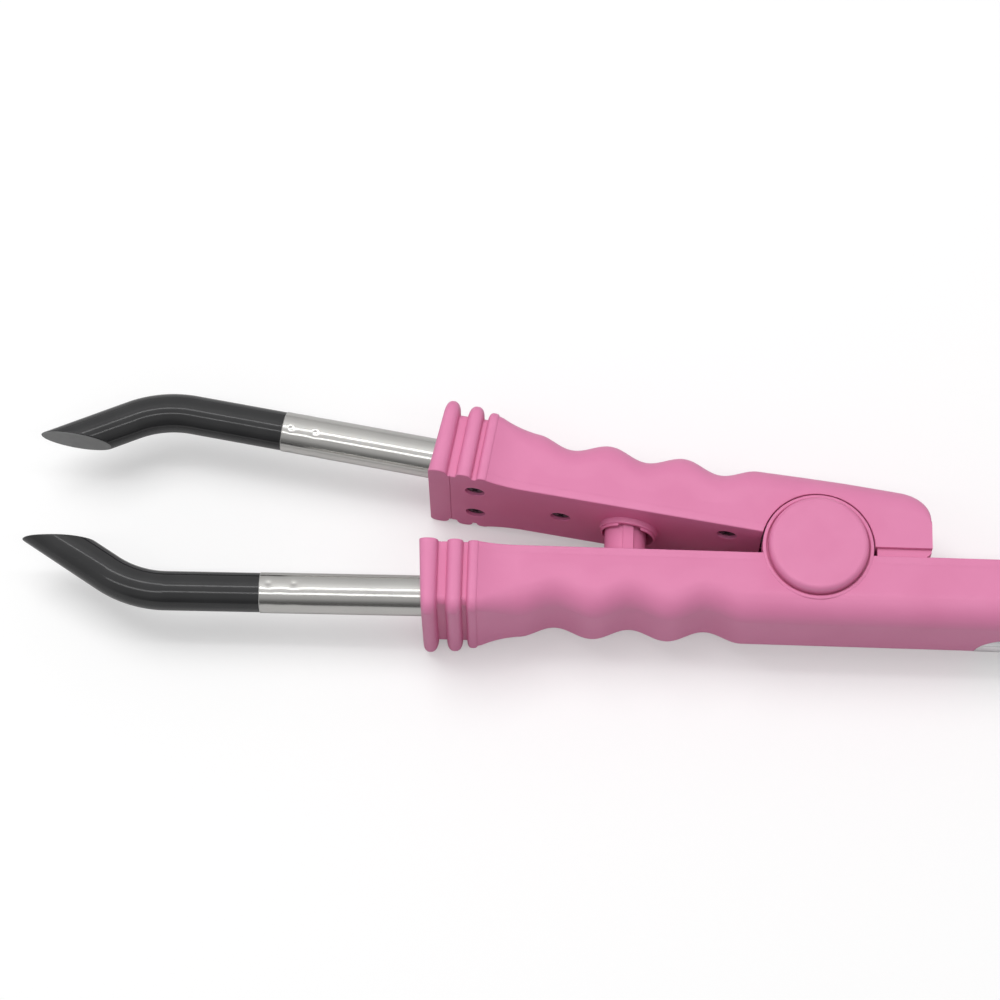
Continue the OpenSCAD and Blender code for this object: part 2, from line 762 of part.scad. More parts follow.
module switch_body() {
    color("#1f1f21") lower_frame() difference() {
        union() {
            block(switch_at - 7.5, switch_at + 7.5, -1, 0, 5.3);
            block(switch_at - 6.7, switch_at + 6.7, -EPS, 9.2, 4.4);
        }
        block(switch_at - 5.5, switch_at + 5.5, -2, 3.7, 3.3);
        translate([switch_at, -rocker_s, -6]) cylinder(h = 12, r = 0.85);
    }
}

// Rocker with its own axle; it rests tilted to its off side.
module power_rocker() {
    color("#b3262c") lower_frame() translate([switch_at, -rocker_s, 0])
        rotate([0, 0, -rocker_tilt]) union() {
            translate([0, 0, -3.1]) linear_extrude(6.2) polygon([
                [-4.85, 2.4], [-4.65, -0.6], [0, -2.2], [4.65, -0.6], [4.85, 2.4], [0, 1.6]
            ]);
            translate([0, 0, -4.2]) cylinder(h = 8.4, r = 0.8);
        }
}

module indicator_lens() {
    color("#e2483a") lower_frame() {
        across(lamp_at, cover_t + 0.9, 0) cylinder(h = 0.8, d = 5.6);
        across(lamp_at, cover_t + 0.2, 0) cylinder(h = cover_t + 0.3, d = 4);
        across(lamp_at, -0.1, 0) intersection() {
            translate([0, 0, -1.7]) sphere(r = 2.62);
            cylinder(h = 2, r = 2);
        }
    }
}

module indicator_lamp() {
    color("#d8d2c8") lower_frame() across(lamp_at, board_s - slip, 0) {
        cylinder(h = 1, d = 3.6);
        cylinder(h = board_s - cover_t - 1.3, d = 3);
    }
}

// Bush that closes the rear wall round the cord's hole.
module cord_gland() {
    color("#262626") lower_frame() translate([0, -gland_s, 0]) difference() {
        union() {
            along(rear_len - 5.6) cylinder(h = 1.5, d = gland_neck_d() + 0.2);
            along(rear_len - 4.2) cylinder(h = 4.4, d = gland_neck_d() - 2 * play);
            along(rear_len + play) cylinder(h = 2, d = gland_neck_d() + 2);
        }
        along(rear_len - 10) cylinder(h = 20, d = cord_hole_d);
    }
}

// Internal leads: round points along each run, in the frame of the arm that holds them.
function mirrored(path, side) = [for (p = path) [p[0], p[1], side * p[2]]];

heater_rear = [-joint_len + stem_len + 0.4, 0, 0];

function heater_run(arm_s, floor_s) = [
    [heater_rear[0], -arm_s - 0.4, 1.3], [-(joint_len - 26), -arm_s - 0.25, 1.3],
    [-barrel_rear - 1, -arm_s + 0.1, 1.3], [-barrel_rear + 2.5, -arm_s, 1.7],
    [9.2 - barrel_rear, -floor_s, lead_z]
];

module pair(path) {
    for (side = [-1, 1]) sweep(mirrored(path, side), lead_d / 2, 8);
}

lower_run_s = hollow_w[0] - 0.75;
upper_run_s = hollow_w[1] - 0.75;

module lower_leads() {
    color("#c9463c") lower_frame() pair(concat(heater_run(lower_barrel_s, lower_run_s),
        [[3.1 - post_len, -lower_run_s, lead_z], [hub_r + 1.5, -lower_run_s, lead_z]]));
}

module upper_leads() {
    color("#d8d8d4") upper_frame() pair(concat(heater_run(upper_barrel_s, upper_run_s), [
        [3.1 - post_len, -upper_run_s, lead_z], [-hub_r - 4.5, -upper_run_s, lead_z - 0.4],
        [-hub_r - 1.1, -upper_run_s + 1.6, lead_z - 1],
        [0.1 - hub_r, -upper_run_s + 5, lead_z - 1.4], [0.3 - hub_r, -1.5, lead_z - 1.4]
    ]));
}

// The stretch that crosses the hinge in front of the knuckle and bends with it.
module hinge_leads() {
    deep = lower_face + hollow_w[0] - 0.7;
    color("#d8d8d4") translate([0, 0, lift]) pair([
        [0.6 - hub_r, upper_face + 0.25, 2], [0.6 - hub_r, -3, 2], [0.8 - hub_r, 3.5 - deep, 2.1],
        [2.1 - hub_r, 0.7 - deep, 2], [5.5 - hub_r, -deep, 1.6], [hub_r + 1.5, -deep, 1.6]
    ]);
}

lower_shell();
lower_front_cover();
lower_rear_cover();
upper_shell();
upper_cover();
tail_cover();
lower_barrel();
upper_barrel();
lower_tip();
upper_tip();
lower_heater();
upper_heater();
lower_lead_tube();
upper_lead_tube();
lower_clamp();
upper_clamp();
guide_post();
return_spring();
pivot_pin();
pivot_nut();
pivot_bushes();
upside_cap();
underside_cap();
lower_screws();
rear_screws();
upper_screws();
circuit_board();
board_components();
board_screws();
switch_body();
power_rocker();
indicator_lens();
indicator_lamp();
cord_gland();
lower_leads();
upper_leads();
hinge_leads();
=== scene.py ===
# %% [markdown]
# # A hair extension fusion iron
#
# The iron is a sprung hand plier. Two moulded pink arms cross at a round hub, and each
# carries a polished steel barrel with a black, bent, heated tip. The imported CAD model
# gives every part its true place and size. This lesson loads it as a fixed frame, sets
# the camera and the light, then gives each part the shape and the surface of the real one.

# %% Load the frame
import json
import math

import bmesh
import bpy
from mathutils import Matrix, Vector

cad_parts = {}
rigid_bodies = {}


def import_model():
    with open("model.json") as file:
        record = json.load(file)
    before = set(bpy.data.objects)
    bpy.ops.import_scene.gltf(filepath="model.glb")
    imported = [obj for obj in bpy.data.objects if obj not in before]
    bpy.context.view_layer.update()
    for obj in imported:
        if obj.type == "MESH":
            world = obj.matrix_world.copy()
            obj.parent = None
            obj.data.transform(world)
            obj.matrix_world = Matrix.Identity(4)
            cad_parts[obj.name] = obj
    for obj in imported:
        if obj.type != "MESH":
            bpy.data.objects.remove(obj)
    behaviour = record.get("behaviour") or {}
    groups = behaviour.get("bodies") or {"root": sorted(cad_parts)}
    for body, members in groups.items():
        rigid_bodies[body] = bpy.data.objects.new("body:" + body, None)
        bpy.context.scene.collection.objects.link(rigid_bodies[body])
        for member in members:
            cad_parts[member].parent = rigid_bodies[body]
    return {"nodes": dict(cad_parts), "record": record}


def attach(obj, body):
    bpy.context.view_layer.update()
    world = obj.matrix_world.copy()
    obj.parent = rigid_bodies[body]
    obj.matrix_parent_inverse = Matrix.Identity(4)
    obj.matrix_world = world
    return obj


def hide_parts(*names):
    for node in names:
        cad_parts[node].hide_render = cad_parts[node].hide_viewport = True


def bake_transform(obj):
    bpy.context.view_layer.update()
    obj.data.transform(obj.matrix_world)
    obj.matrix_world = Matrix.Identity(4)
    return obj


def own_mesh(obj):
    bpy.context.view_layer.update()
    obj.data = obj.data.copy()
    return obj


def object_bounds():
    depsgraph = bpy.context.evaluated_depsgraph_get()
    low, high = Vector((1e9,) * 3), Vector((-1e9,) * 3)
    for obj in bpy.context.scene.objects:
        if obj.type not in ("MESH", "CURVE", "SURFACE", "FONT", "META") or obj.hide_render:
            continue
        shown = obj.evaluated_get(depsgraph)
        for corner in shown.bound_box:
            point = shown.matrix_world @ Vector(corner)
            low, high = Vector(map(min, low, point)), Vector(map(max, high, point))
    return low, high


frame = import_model()
cad_low, cad_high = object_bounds()
scene = bpy.context.scene
print("CAD box in mm:", [round(1000 * (b - a), 1) for a, b in zip(cad_low, cad_high)])

# %% [markdown]
# ## Camera
#
# The photograph looks down on the iron from the lower arm's side, through a long lens.
# The camera stands 0.69 m from a point between the tips and the hub. Its tilt, turn and
# roll are the three angles below. A lens of 108 mm on a 36 mm sensor shows 19 degrees.

# %% Camera
MM = 0.001
HINGE_Z = 13.5  # height of the arms' middle plane
AIM = Vector((-72.035, 13.923, HINGE_Z)) * MM
TILT, TURN, ROLL = math.radians(21.877), math.radians(0.247), math.radians(1.957)
DISTANCE = 690.97 * MM

camera_data = bpy.data.cameras.new("camera")
camera_data.sensor_width = 36
camera_data.lens = 108
camera_data.clip_start = 0.05
camera = bpy.data.objects.new("camera", camera_data)
scene.collection.objects.link(camera)
turned_view = (
    Matrix.Rotation(ROLL, 3, "Z") @ Matrix.Rotation(TURN, 3, "Y") @ Matrix.Rotation(TILT, 3, "X")
)
camera.matrix_world = Matrix.Translation(AIM + turned_view.col[2] * DISTANCE) @ turned_view.to_4x4()
scene.camera = camera
print("camera at", [round(v, 3) for v in camera.location])

# %% [markdown]
# ## Surfaces
#
# A moulded or coated part is never one flat colour. Its shade drifts a little over
# centimetres, and a fine texture breaks up its gloss. One function makes such a finish
# from two shades, the size of the drift, a range of roughness and a fine bump. Noise
# read in Object coordinates gives both patterns, so they stay on the part as it moves.

# %% A procedural finish
def ranged(nodes, links, value, source, target=(0, 1)):
    """A value carried over from one range to another."""
    made = nodes.new("ShaderNodeMapRange")
    for socket, end in zip(("From Min", "From Max", "To Min", "To Max"), (*source, *target)):
        made.inputs[socket].default_value = end
    links.new(value, made.inputs["Value"])
    return made.outputs["Result"]


def mixed(nodes, links, factor, a, b):
    """A mix of two colours, where each value is a constant or another node's output."""
    made = nodes.new("ShaderNodeMix")
    made.data_type = "RGBA"
    for socket, value in (("Factor", factor), ("A", a), ("B", b)):
        if isinstance(value, bpy.types.NodeSocket):
            links.new(value, made.inputs[socket])
        else:
            made.inputs[socket].default_value = value
    return made.outputs["Result"]


def noise(nodes, links, size, detail=3.0, stretch=(1, 1, 1), turn=0.0):
    """A noise of this size in mm, on Object coordinates turned about Z and stretched."""
    where = nodes.new("ShaderNodeTexCoord")
    mapping = nodes.new("ShaderNodeMapping")
    mapping.vector_type = "TEXTURE"
    mapping.inputs["Rotation"].default_value = (0, 0, turn)
    mapping.inputs["Scale"].default_value = stretch
    made = nodes.new("ShaderNodeTexNoise")
    made.inputs["Scale"].default_value = 1 / (size * MM)
    made.inputs["Detail"].default_value = detail
    links.new(where.outputs["Object"], mapping.inputs["Vector"])
    links.new(mapping.outputs["Vector"], made.inputs["Vector"])
    return made.outputs["Fac"]


NOISE_SPAN = (0.3, 0.7)  # where nearly all of a noise lies


def surface(name, light, dark, rough, drift=14.0, grain=0.25, bump=0.01,
            stretch=(1, 1, 1), turn=0.0, **values):
    """A finish between two shades, with a range of roughness and a fine bump in mm."""
    made = bpy.data.materials.new(name)
    made.use_nodes = True
    nodes, links = made.node_tree.nodes, made.node_tree.links
    shader = nodes["Principled BSDF"]
    shade = ranged(nodes, links, noise(nodes, links, drift), NOISE_SPAN)
    links.new(mixed(nodes, links, shade, (*light, 1), (*dark, 1)), shader.inputs["Base Color"])
    fine = noise(nodes, links, grain, 2.0, stretch, turn)
    links.new(ranged(nodes, links, fine, NOISE_SPAN, rough), shader.inputs["Roughness"])
    relief = nodes.new("ShaderNodeBump")
    relief.inputs["Strength"].default_value = 1
    relief.inputs["Distance"].default_value = bump * MM
    links.new(fine, relief.inputs["Height"])
    links.new(relief.outputs["Normal"], shader.inputs["Normal"])
    for socket, value in values.items():
        shader.inputs[socket.replace("_", " ")].default_value = value
    return made


# %% [markdown]
# The grips are injection-moulded pink plastic with a satin, lightly textured skin. The
# barrels are drawn stainless tube, whose fine lines run lengthwise, so its noise is
# stretched along the tube. The tips have a black non-stick coating that is smooth, and
# that is rubbed to a matte grey on the faces that press on the bonds.

# %% The finishes
OPEN_ANGLE, SPLAY = math.radians(8.6), math.radians(0.65)
PINK, PINK_DEEP = (0.735, 0.232, 0.422), (0.70, 0.211, 0.392)
COATING = dict(drift=9.0, grain=0.35, bump=0.002)


def drawn_steel(name, turn):
    """Stainless tube drawn along this direction in plan."""
    return surface(name, (0.69, 0.68, 0.655), (0.64, 0.63, 0.61), (0.15, 0.21), grain=0.3,
                   bump=0.0012, stretch=(30, 1, 1), turn=turn, Metallic=1.0)


finishes = {
    "grip": surface("satin_pink_plastic", PINK, PINK_DEEP, (0.38, 0.46)),
    "cap": surface("pink_cap_plastic", PINK, PINK_DEEP, (0.3, 0.38), drift=9.0),
    "cover": surface("pink_cover_plastic", PINK, PINK_DEEP, (0.4, 0.48)),
    "barrel": drawn_steel("drawn_steel_lower", SPLAY),
    "upper_barrel": drawn_steel("drawn_steel_upper", -OPEN_ANGLE - SPLAY),
    "tip": surface("black_nonstick_coating", (0.026, 0.026, 0.027), (0.019, 0.019, 0.02),
                   (0.1, 0.14), **COATING),
    "ceramic": surface("white_ceramic", (0.80, 0.78, 0.72), (0.74, 0.71, 0.64), (0.45, 0.6)),
    "clamp": surface("brown_phenolic", (0.15, 0.07, 0.04), (0.10, 0.05, 0.03), (0.5, 0.65),
                     drift=4.0, bump=0.02),
    "steel": surface("plated_steel", (0.56, 0.56, 0.57), (0.48, 0.48, 0.49), (0.24, 0.36),
                     bump=0.004, Metallic=1.0),
    "bronze": surface("sintered_bronze", (0.55, 0.36, 0.13), (0.42, 0.27, 0.1), (0.35, 0.5),
                      drift=2.0, bump=0.01, Metallic=1.0),
    # The screws are black oxide steel; the pink-purple cast in both their shades is painted
    # reflection of the pink plastic round them.
    "screw": surface("black_oxide_steel_with_painted_pink_cast", (0.04, 0.028, 0.034), (0.028, 0.018, 0.023),
                     (0.24, 0.36), drift=2.0, bump=0.004, Metallic=0.6),
    "board": surface("green_solder_mask", (0.03, 0.17, 0.07), (0.02, 0.12, 0.05), (0.3, 0.42),
                     drift=3.0),
    "component": surface("dark_epoxy", (0.05, 0.055, 0.065), (0.035, 0.04, 0.045), (0.5, 0.65),
                         drift=1.5),
    "switch": surface("black_nylon", (0.022, 0.022, 0.024), (0.016, 0.016, 0.018), (0.45, 0.55)),
    "rocker": surface("red_polycarbonate", (0.52, 0.02, 0.025), (0.44, 0.015, 0.02),
                      (0.2, 0.3), drift=5.0, bump=0.003, Coat_Weight=0.3),
    "lens": surface("clear_red_lens", (0.75, 0.05, 0.03), (0.65, 0.03, 0.02), (0.08, 0.14),
                    drift=3.0, bump=0.001, Transmission_Weight=0.4),
    "lamp": surface("diffused_lamp", (0.85, 0.82, 0.76), (0.78, 0.74, 0.68), (0.2, 0.3)),
    "gland": surface("soft_black_rubber", (0.02, 0.02, 0.02), (0.014, 0.014, 0.014),
                     (0.55, 0.7), bump=0.02),
    "lead": surface("red_silicone", (0.45, 0.05, 0.035), (0.36, 0.035, 0.025), (0.4, 0.55),
                    drift=5.0),
    "lead_pale": surface("grey_silicone", (0.62, 0.62, 0.59), (0.54, 0.54, 0.51), (0.4, 0.55),
                         drift=5.0),
}
print("finishes:", len(finishes))

# %% [markdown]
# ## Frames
#
# Each arm is drawn lying straight, in its own frame in millimetres: its inner face on
# y = 0, its body towards -Y and its tip towards -X, halfway up at z = 0. A matrix then
# lays it in the iron. The upper arm is the mirror image, opened by 8.6 degrees.

# %% Arm frames
LOWER_FACE, UPPER_FACE = 1.7, 1.35  # hinge axis to each inner face
LOWER_ARM = Matrix.Translation((0, -LOWER_FACE, HINGE_Z))
UPPER_ARM = (
    Matrix.Translation((0, 0, HINGE_Z)) @ Matrix.Rotation(-OPEN_ANGLE, 4, "Z")
    @ Matrix.Translation((0, UPPER_FACE, 0)) @ Matrix.Diagonal((1, -1, 1, 1))
)
IN_WORLD = Matrix.Translation((0, 0, HINGE_Z))
slot_of = {part["node"]: part["material_slot"] for part in frame["record"]["subparts"]}
body_of = {n: b for b, nodes in frame["record"]["behaviour"]["bodies"].items() for n in nodes}
print("nodes by body:", {b: list(body_of.values()).count(b) for b in set(body_of.values())})

# %% [markdown]
# A form becomes a piece in one place, so that every piece gets the same care: it is laid
# in the iron, its doubles are merged, its faces turned outwards, its curved faces shaded
# smooth and its corners kept sharp. A weighted normal keeps the broad flats flat.

# %% From form to piece
def laid(form, matrix):
    """The form moved and turned by this matrix."""
    bmesh.ops.transform(form, matrix=matrix, verts=form.verts)
    return form


def as_object(form, name):
    """The form as an object in the scene."""
    mesh = bpy.data.meshes.new(name)
    form.to_mesh(mesh)
    form.free()
    made = bpy.data.objects.new(name, mesh)
    scene.collection.objects.link(made)
    return made


def piece(form, name, node, place, sharp=32, rides=True):
    """The form as a finished object that stands for the CAD node and moves with its body."""
    laid(form, Matrix.Scale(MM, 4) @ place)
    bmesh.ops.remove_doubles(form, verts=form.verts, dist=2e-7)
    bmesh.ops.recalc_face_normals(form, faces=form.faces)
    open_edges = sum(not edge.is_manifold for edge in form.edges)
    for face in form.faces:
        face.smooth = True
    made = as_object(form, name)
    mesh = made.data
    mesh.set_sharp_from_angle(angle=math.radians(sharp))
    mesh.materials.append(finishes[slot_of[node]])
    flatten = made.modifiers.new("even_flats", "WEIGHTED_NORMAL")
    flatten.keep_sharp = True
    if rides:
        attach(made, body_of[node])
    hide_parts(node)
    print(name, len(mesh.polygons), "faces, open edges:", open_edges)
    return made


def combine(form, operation, *tools):
    """The form after each tool is added (UNION), cut away (DIFFERENCE) or kept (INTERSECT)."""
    for tool in tools:
        pair = []
        for part in (form, tool):
            bmesh.ops.recalc_face_normals(part, faces=part.faces)
            pair.append(as_object(part, "working"))
        joint = pair[0].modifiers.new("joint", "BOOLEAN")
        joint.object, joint.operation, joint.solver = pair[1], operation, "MANIFOLD"
        view = bpy.context.evaluated_depsgraph_get()
        form = bmesh.new()
        done = pair[0].evaluated_get(view).to_mesh()
        form.from_mesh(done)
        for each in pair:
            mesh = each.data
            bpy.data.objects.remove(each)
            bpy.data.meshes.remove(mesh)
        bmesh.ops.remove_doubles(form, verts=form.verts, dist=1e-4)
    return form


# %% [markdown]
# ## Simple forms
#
# A few forms cut and join the larger ones. A block is a cube. A turned form is a profile
# spun about an axis, as on a lathe, and a cylinder is the simplest of these. Both hub
# sides are alike, so one function turns a form and its mirror image.

# %% Block and turned form
def block(x0, x1, y0, y1, z0, z1):
    form = bmesh.new()
    bmesh.ops.create_cube(form, size=1)
    bmesh.ops.scale(form, vec=(x1 - x0, y1 - y0, z1 - z0), verts=form.verts)
    middle = ((x0 + x1) / 2, (y0 + y1) / 2, (z0 + z1) / 2)
    bmesh.ops.translate(form, vec=middle, verts=form.verts)
    return form


def turned(profile, steps=96, at=(0, 0, 0), axis="Z"):
    """A (radius, height) profile spun about Z, then laid along another axis and moved."""
    form = bmesh.new()
    points = [form.verts.new((radius, 0, height)) for radius, height in profile]
    edges = [form.edges.new(pair) for pair in zip(points, points[1:])]
    bmesh.ops.spin(form, geom=points + edges, cent=(0, 0, 0), axis=(0, 0, 1),
                   angle=math.tau, steps=steps, use_merge=True)
    lay = {"Z": Matrix(), "X": Matrix.Rotation(math.pi / 2, 4, "Y"),
           "Y": Matrix.Rotation(-math.pi / 2, 4, "X")}[axis]
    laid(form, Matrix.Translation(at) @ lay)
    bmesh.ops.remove_doubles(form, verts=form.verts, dist=1e-5)
    bmesh.ops.recalc_face_normals(form, faces=form.faces)
    return form


def cylinder(radius, low, high, steps=96, at=(0, 0, 0), axis="Z"):
    return turned([(0, low), (radius, low), (radius, high), (0, high)], steps, at, axis)


def both_sides(profile, y):
    """A turned form on the hub axis at this y, and its mirror image on the other side."""
    forms = [turned(profile, 160, (0, y, 0)) for side in (1, -1)]
    bmesh.ops.scale(forms[1], vec=(1, 1, -1), verts=forms[1].verts)
    return forms


def round_over(radius, height, soft, steps=6, fall=None):
    """Profile points of an outer edge rounded over soft mm, and over fall mm in height."""
    fall = fall or soft
    turns = [math.pi / 2 * k / steps for k in range(steps + 1)]
    return [(radius - soft * (1 - math.cos(t)), height - fall * (1 - math.sin(t))) for t in turns]


# %% [markdown]
# ## The moulded arms
#
# An arm's cross-section is a rectangle with two generous outer corners, and it changes
# all the way along: three ridges on the collar, a hollow curve into the grip, three
# finger hollows, then the hub and the rear end. The form starts as one flat outline that
# is extruded from station to station. At each station the new outline is set to the
# section's own size there. A subdivided box would need the same sections as a cage, and
# would round the ridges off.

# %% Section and loft
LOWER_W, UPPER_W = 15.0, 16.2
HALF = 12.4  # half the arms' depth
EDGE_R = 6.0


def arc(y, z, radius, start, end, steps):
    turns = [math.radians(start + (end - start) * k / steps) for k in range(steps + 1)]
    return [(y + radius * math.cos(t), z + radius * math.sin(t)) for t in turns]


def outline(width, half, corner, edge=0.3):
    """A section as (y, z): inner face on y = 0, its edges eased, outer corners rounded."""
    return (
        arc(-edge, half - edge, edge, 0, 90, 3)
        + arc(corner - width, half - corner, corner, 90, 180, 12)
        + arc(corner - width, corner - half, corner, 180, 270, 12)
        + arc(-edge, edge - half, edge, 270, 360, 3)
    )


def extruded(form, face, keep=False):
    """The far end of new walls drawn from a face, which goes unless it closes the form."""
    grown = bmesh.ops.extrude_face_region(form, geom=[face])["geom"]
    if not keep:
        form.faces.remove(face)
    return next(part for part in grown if isinstance(part, bmesh.types.BMFace))


def loft(stations):
    """A closed form through stations of (x, width, half depth, corner radius)."""
    form = bmesh.new()
    x, *sizes = stations[0]
    face = first = form.faces.new([form.verts.new((x, y, z)) for y, z in outline(*sizes)])
    for x, *sizes in stations[1:]:
        face = extruded(form, face, keep=face is first)
        for vert, (y, z) in zip(face.verts, outline(*sizes)):
            vert.co = (x, y, z)
    bmesh.ops.recalc_face_normals(form, faces=form.faces)
    return form


# %% Stations of the collar, the grip and the ends
FRONT_LEN, REAR_LEN, TAIL_LEN, TAIL_R = 89.55, 84.0, 25.6, 8.0
COLLAR_LEN, FLARE_LEN = 13.55, 8.85
HOLLOWS, HOLLOW_START, HOLLOW_DEPTH = 3, 24.4, 2.5
GRIP_END = FRONT_LEN - COLLAR_LEN - FLARE_LEN
HOLLOW_PITCH = (GRIP_END - HOLLOW_START) / (HOLLOWS - 0.5)


def ridge(at, half, top, front, back, steps=14):
    """Steps (length behind the collar's front, swell) over a round crest with steep flanks."""
    steps_over = []
    for k in range(steps + 1):
        turn = math.pi * k / steps
        along = at - half * math.copysign(abs(math.cos(turn)) ** 0.8, math.cos(turn))
        foot = front if k < steps / 2 else back
        steps_over.append((along, foot + (top - foot) * max(math.sin(turn), 0) ** 0.95))
    return steps_over


def collar(width):
    steps = (ridge(2.17, 2.17, 1, 0.35, 0) + ridge(8.1, 1.85, 0.88, 0, 0)
             + ridge(12.15, 1.2, 0.6, 0, 0.42))
    return [(at - FRONT_LEN, width - 0.35 + 2.85 * swell, HALF + 0.85 + 2.25 * swell,
             1.8 + 1.6 * swell) for at, swell in steps]


def set_back(form, width):
    """The front end is not square: its outer edge stands 0.9 mm behind its inner edge."""
    for vert in form.verts:
        at = vert.co.x + FRONT_LEN
        if at < COLLAR_LEN:
            share = 0.2 * (1 - at / COLLAR_LEN) + 0.7 * max(0, 1 - at / 3.2)
            vert.co.x -= share * vert.co.y / width
    return form


def flare(width, steps=12):
    stations = []
    for k in range(1, steps):
        t = 1 - k / steps
        rise = t ** 2.2
        stations.append((-(GRIP_END + t * FLARE_LEN), width + rise, HALF + 1.7 * rise,
                         EDGE_R - (EDGE_R - 2.4) * t))
    return stations


def grips(width, steps=24):
    stations = []
    for k in range(HOLLOWS * steps + 1):
        at = GRIP_END - k * HOLLOW_PITCH / steps
        wave = (1 + math.cos(math.tau * (at - HOLLOW_START) / HOLLOW_PITCH)) / 2
        stations.append((-at, width - HOLLOW_DEPTH * wave, HALF, EDGE_R))
    return stations


def rear_end(width, soft=4.0, steps=12):
    turns = [math.pi / 2 * k / steps for k in range(steps + 1)]
    return [(REAR_LEN - soft * (1 - math.sin(t)), width - soft * (1 - math.cos(t)),
             HALF - soft * (1 - math.cos(t)), EDGE_R - soft * (1 - math.cos(t)) / 2)
            for t in turns]


def tail(width, steps=18):
    """The tail's outer corner is a round that ends along the plane its end is cut on."""
    wide, rise = width + 0.6, math.sin(OPEN_ANGLE)
    across = UPPER_FACE + wide - TAIL_R
    middle = (TAIL_LEN - TAIL_R - rise * across) / math.cos(OPEN_ANGLE)
    turns = [(math.pi / 2 - OPEN_ANGLE) * k / steps for k in range(steps + 1)]
    corner = [(middle + TAIL_R * math.sin(t), wide - TAIL_R * (1 - math.cos(t)), HALF,
               EDGE_R - 4.2 * math.sin(t) ** 2) for t in turns]
    return [(-6, width + 0.35, HALF, EDGE_R), (4, wide, HALF, EDGE_R)] + corner + [
        (TAIL_LEN + 1.5, *corner[-1][1:])]


def arm_form(width, end):
    """A whole arm of this width, with the stations of its own end."""
    return set_back(loft(collar(width) + flare(width) + grips(width) + end(width)), width)


print("stations on an arm:", len(collar(1) + flare(1) + grips(1) + rear_end(1)))

# %% [markdown]
# The mouldings are hollow, with a wall of 2 mm, and the inner cover plates are slices of
# the same outline. So both shells lose a hollow, a slice for the cover and a bore for the
# barrel. Each cutting form is larger than what it cuts where it breaks the surface.

# %% What both shells lose
WALL, COVER_T = 2.0, 2.0
FIT = 0.01  # gap along the covers' long edges, too fine to see
HUB_R, CAP_D, KNUCKLE_T = 12.5, 22.3, 15.8
SEAM = FRONT_LEN - 4.9
COVER_FROM = HUB_R + 0.35
BARREL_D = 9.3
CLAMP_AT = FRONT_LEN - 10.7
BARREL_REAR = CLAMP_AT - 10.4
LOWER_AXIS, UPPER_AXIS = LOWER_W / 2 + 0.8, UPPER_W / 2 + 0.8


def barrel_line(axis_depth):
    """From the barrel's own frame, with X along its axis, to the arm's frame."""
    return Matrix.Translation((-CLAMP_AT, -axis_depth, 0)) @ Matrix.Rotation(SPLAY, 4, "Z")


def barrel_bore(axis_depth, play):
    """A round bore along the barrel, wider than it by play all round."""
    return laid(cylinder(BARREL_D / 2 + play, -60, 10.7, axis="X"), barrel_line(axis_depth))


def tunnel(x0, x1, depth, half, corner):
    """An arm's own outline, drawn out between two stations."""
    form = loft([(x0, depth + 1, half, corner), (x1, depth + 1, half, corner)])
    bmesh.ops.translate(form, vec=(0, 1, 0), verts=form.verts)
    return form


def hollowed(form, width, axis_depth, x_end):
    floor = width - HOLLOW_DEPTH - WALL
    return combine(
        form, "DIFFERENCE",
        tunnel(-GRIP_END - 0.02, x_end, floor, HALF - WALL, EDGE_R - WALL),
        tunnel(-SEAM, -GRIP_END, width - 1.8, HALF - 1.2, 2.5),
        block(-SEAM, FIT - COVER_FROM, -COVER_T - FIT, 5, -40, 40),
        barrel_bore(axis_depth, 0.2))


print("seam at", SEAM, "covers start at", COVER_FROM, "barrels end at", BARREL_REAR)

# %% [markdown]
# ## Lower arm
#
# The two round cheeks of the hub are turned, with an eased rim, and joined to the arm.
# They leave a slot between them for the upper arm's knuckle. Screw posts and cradle ribs
# rise from the floor inside, where they can't be seen once the covers are on.

# %% Places of the screws, posts and ribs
SCREW_SIDE = 6.4
POST_LEN, POST_FLANGE = 43.1, 6.3
FRONT_PLACES = [(-20.7, -SCREW_SIDE), (-20.7, SCREW_SIDE),
                (-(POST_LEN + POST_FLANGE + BARREL_REAR) / 2, 0)]
CLAMP_PLACES = [(-CLAMP_AT, -SCREW_SIDE), (-CLAMP_AT, SCREW_SIDE)]
SWITCH_AT, LAMP_AT = 62.6, 46.0
REAR_PLACES = [(SWITCH_AT - 10, 0), (REAR_LEN - 10, -SCREW_SIDE), (REAR_LEN - 10, SCREW_SIDE)]
BOARD_PLACES = [(HUB_R + 7, 0), (SWITCH_AT - 20.6, 6.6)]
TAIL_X, TAIL_SIDES = 19, (-5.5, 5.5)
BOSS_R, PILOT_R = 2.4, 1.2  # a screw's post, and the hole in it


def rod(place, deep, shallow, radius, steps=32):
    """A round rod across the arm, between two depths below its inner face."""
    x, z = place
    return cylinder(radius, -deep, -shallow, steps, (x, 0, z), "Y")


def rods(places, *sizes):
    return [rod(place, *sizes) for place in places]


def cradle(width, axis_depth):
    """Two ribs and two posts that carry the barrel and its clamp."""
    floor = width - 1.78
    ribs = [block(x, x + 1.8, -floor, 2.2 - axis_depth, 1.2 - HALF, HALF - 1.2)
            for x in (-CLAMP_AT - 5.3, -CLAMP_AT + 3.5)]
    form = combine(ribs[0], "UNION", ribs[1],
                   *rods(CLAMP_PLACES, floor, axis_depth - 2.2, BOSS_R))
    return combine(form, "DIFFERENCE", barrel_bore(axis_depth, 0.05))


print("front screws at", [round(x, 2) for x, z in FRONT_PLACES + CLAMP_PLACES])

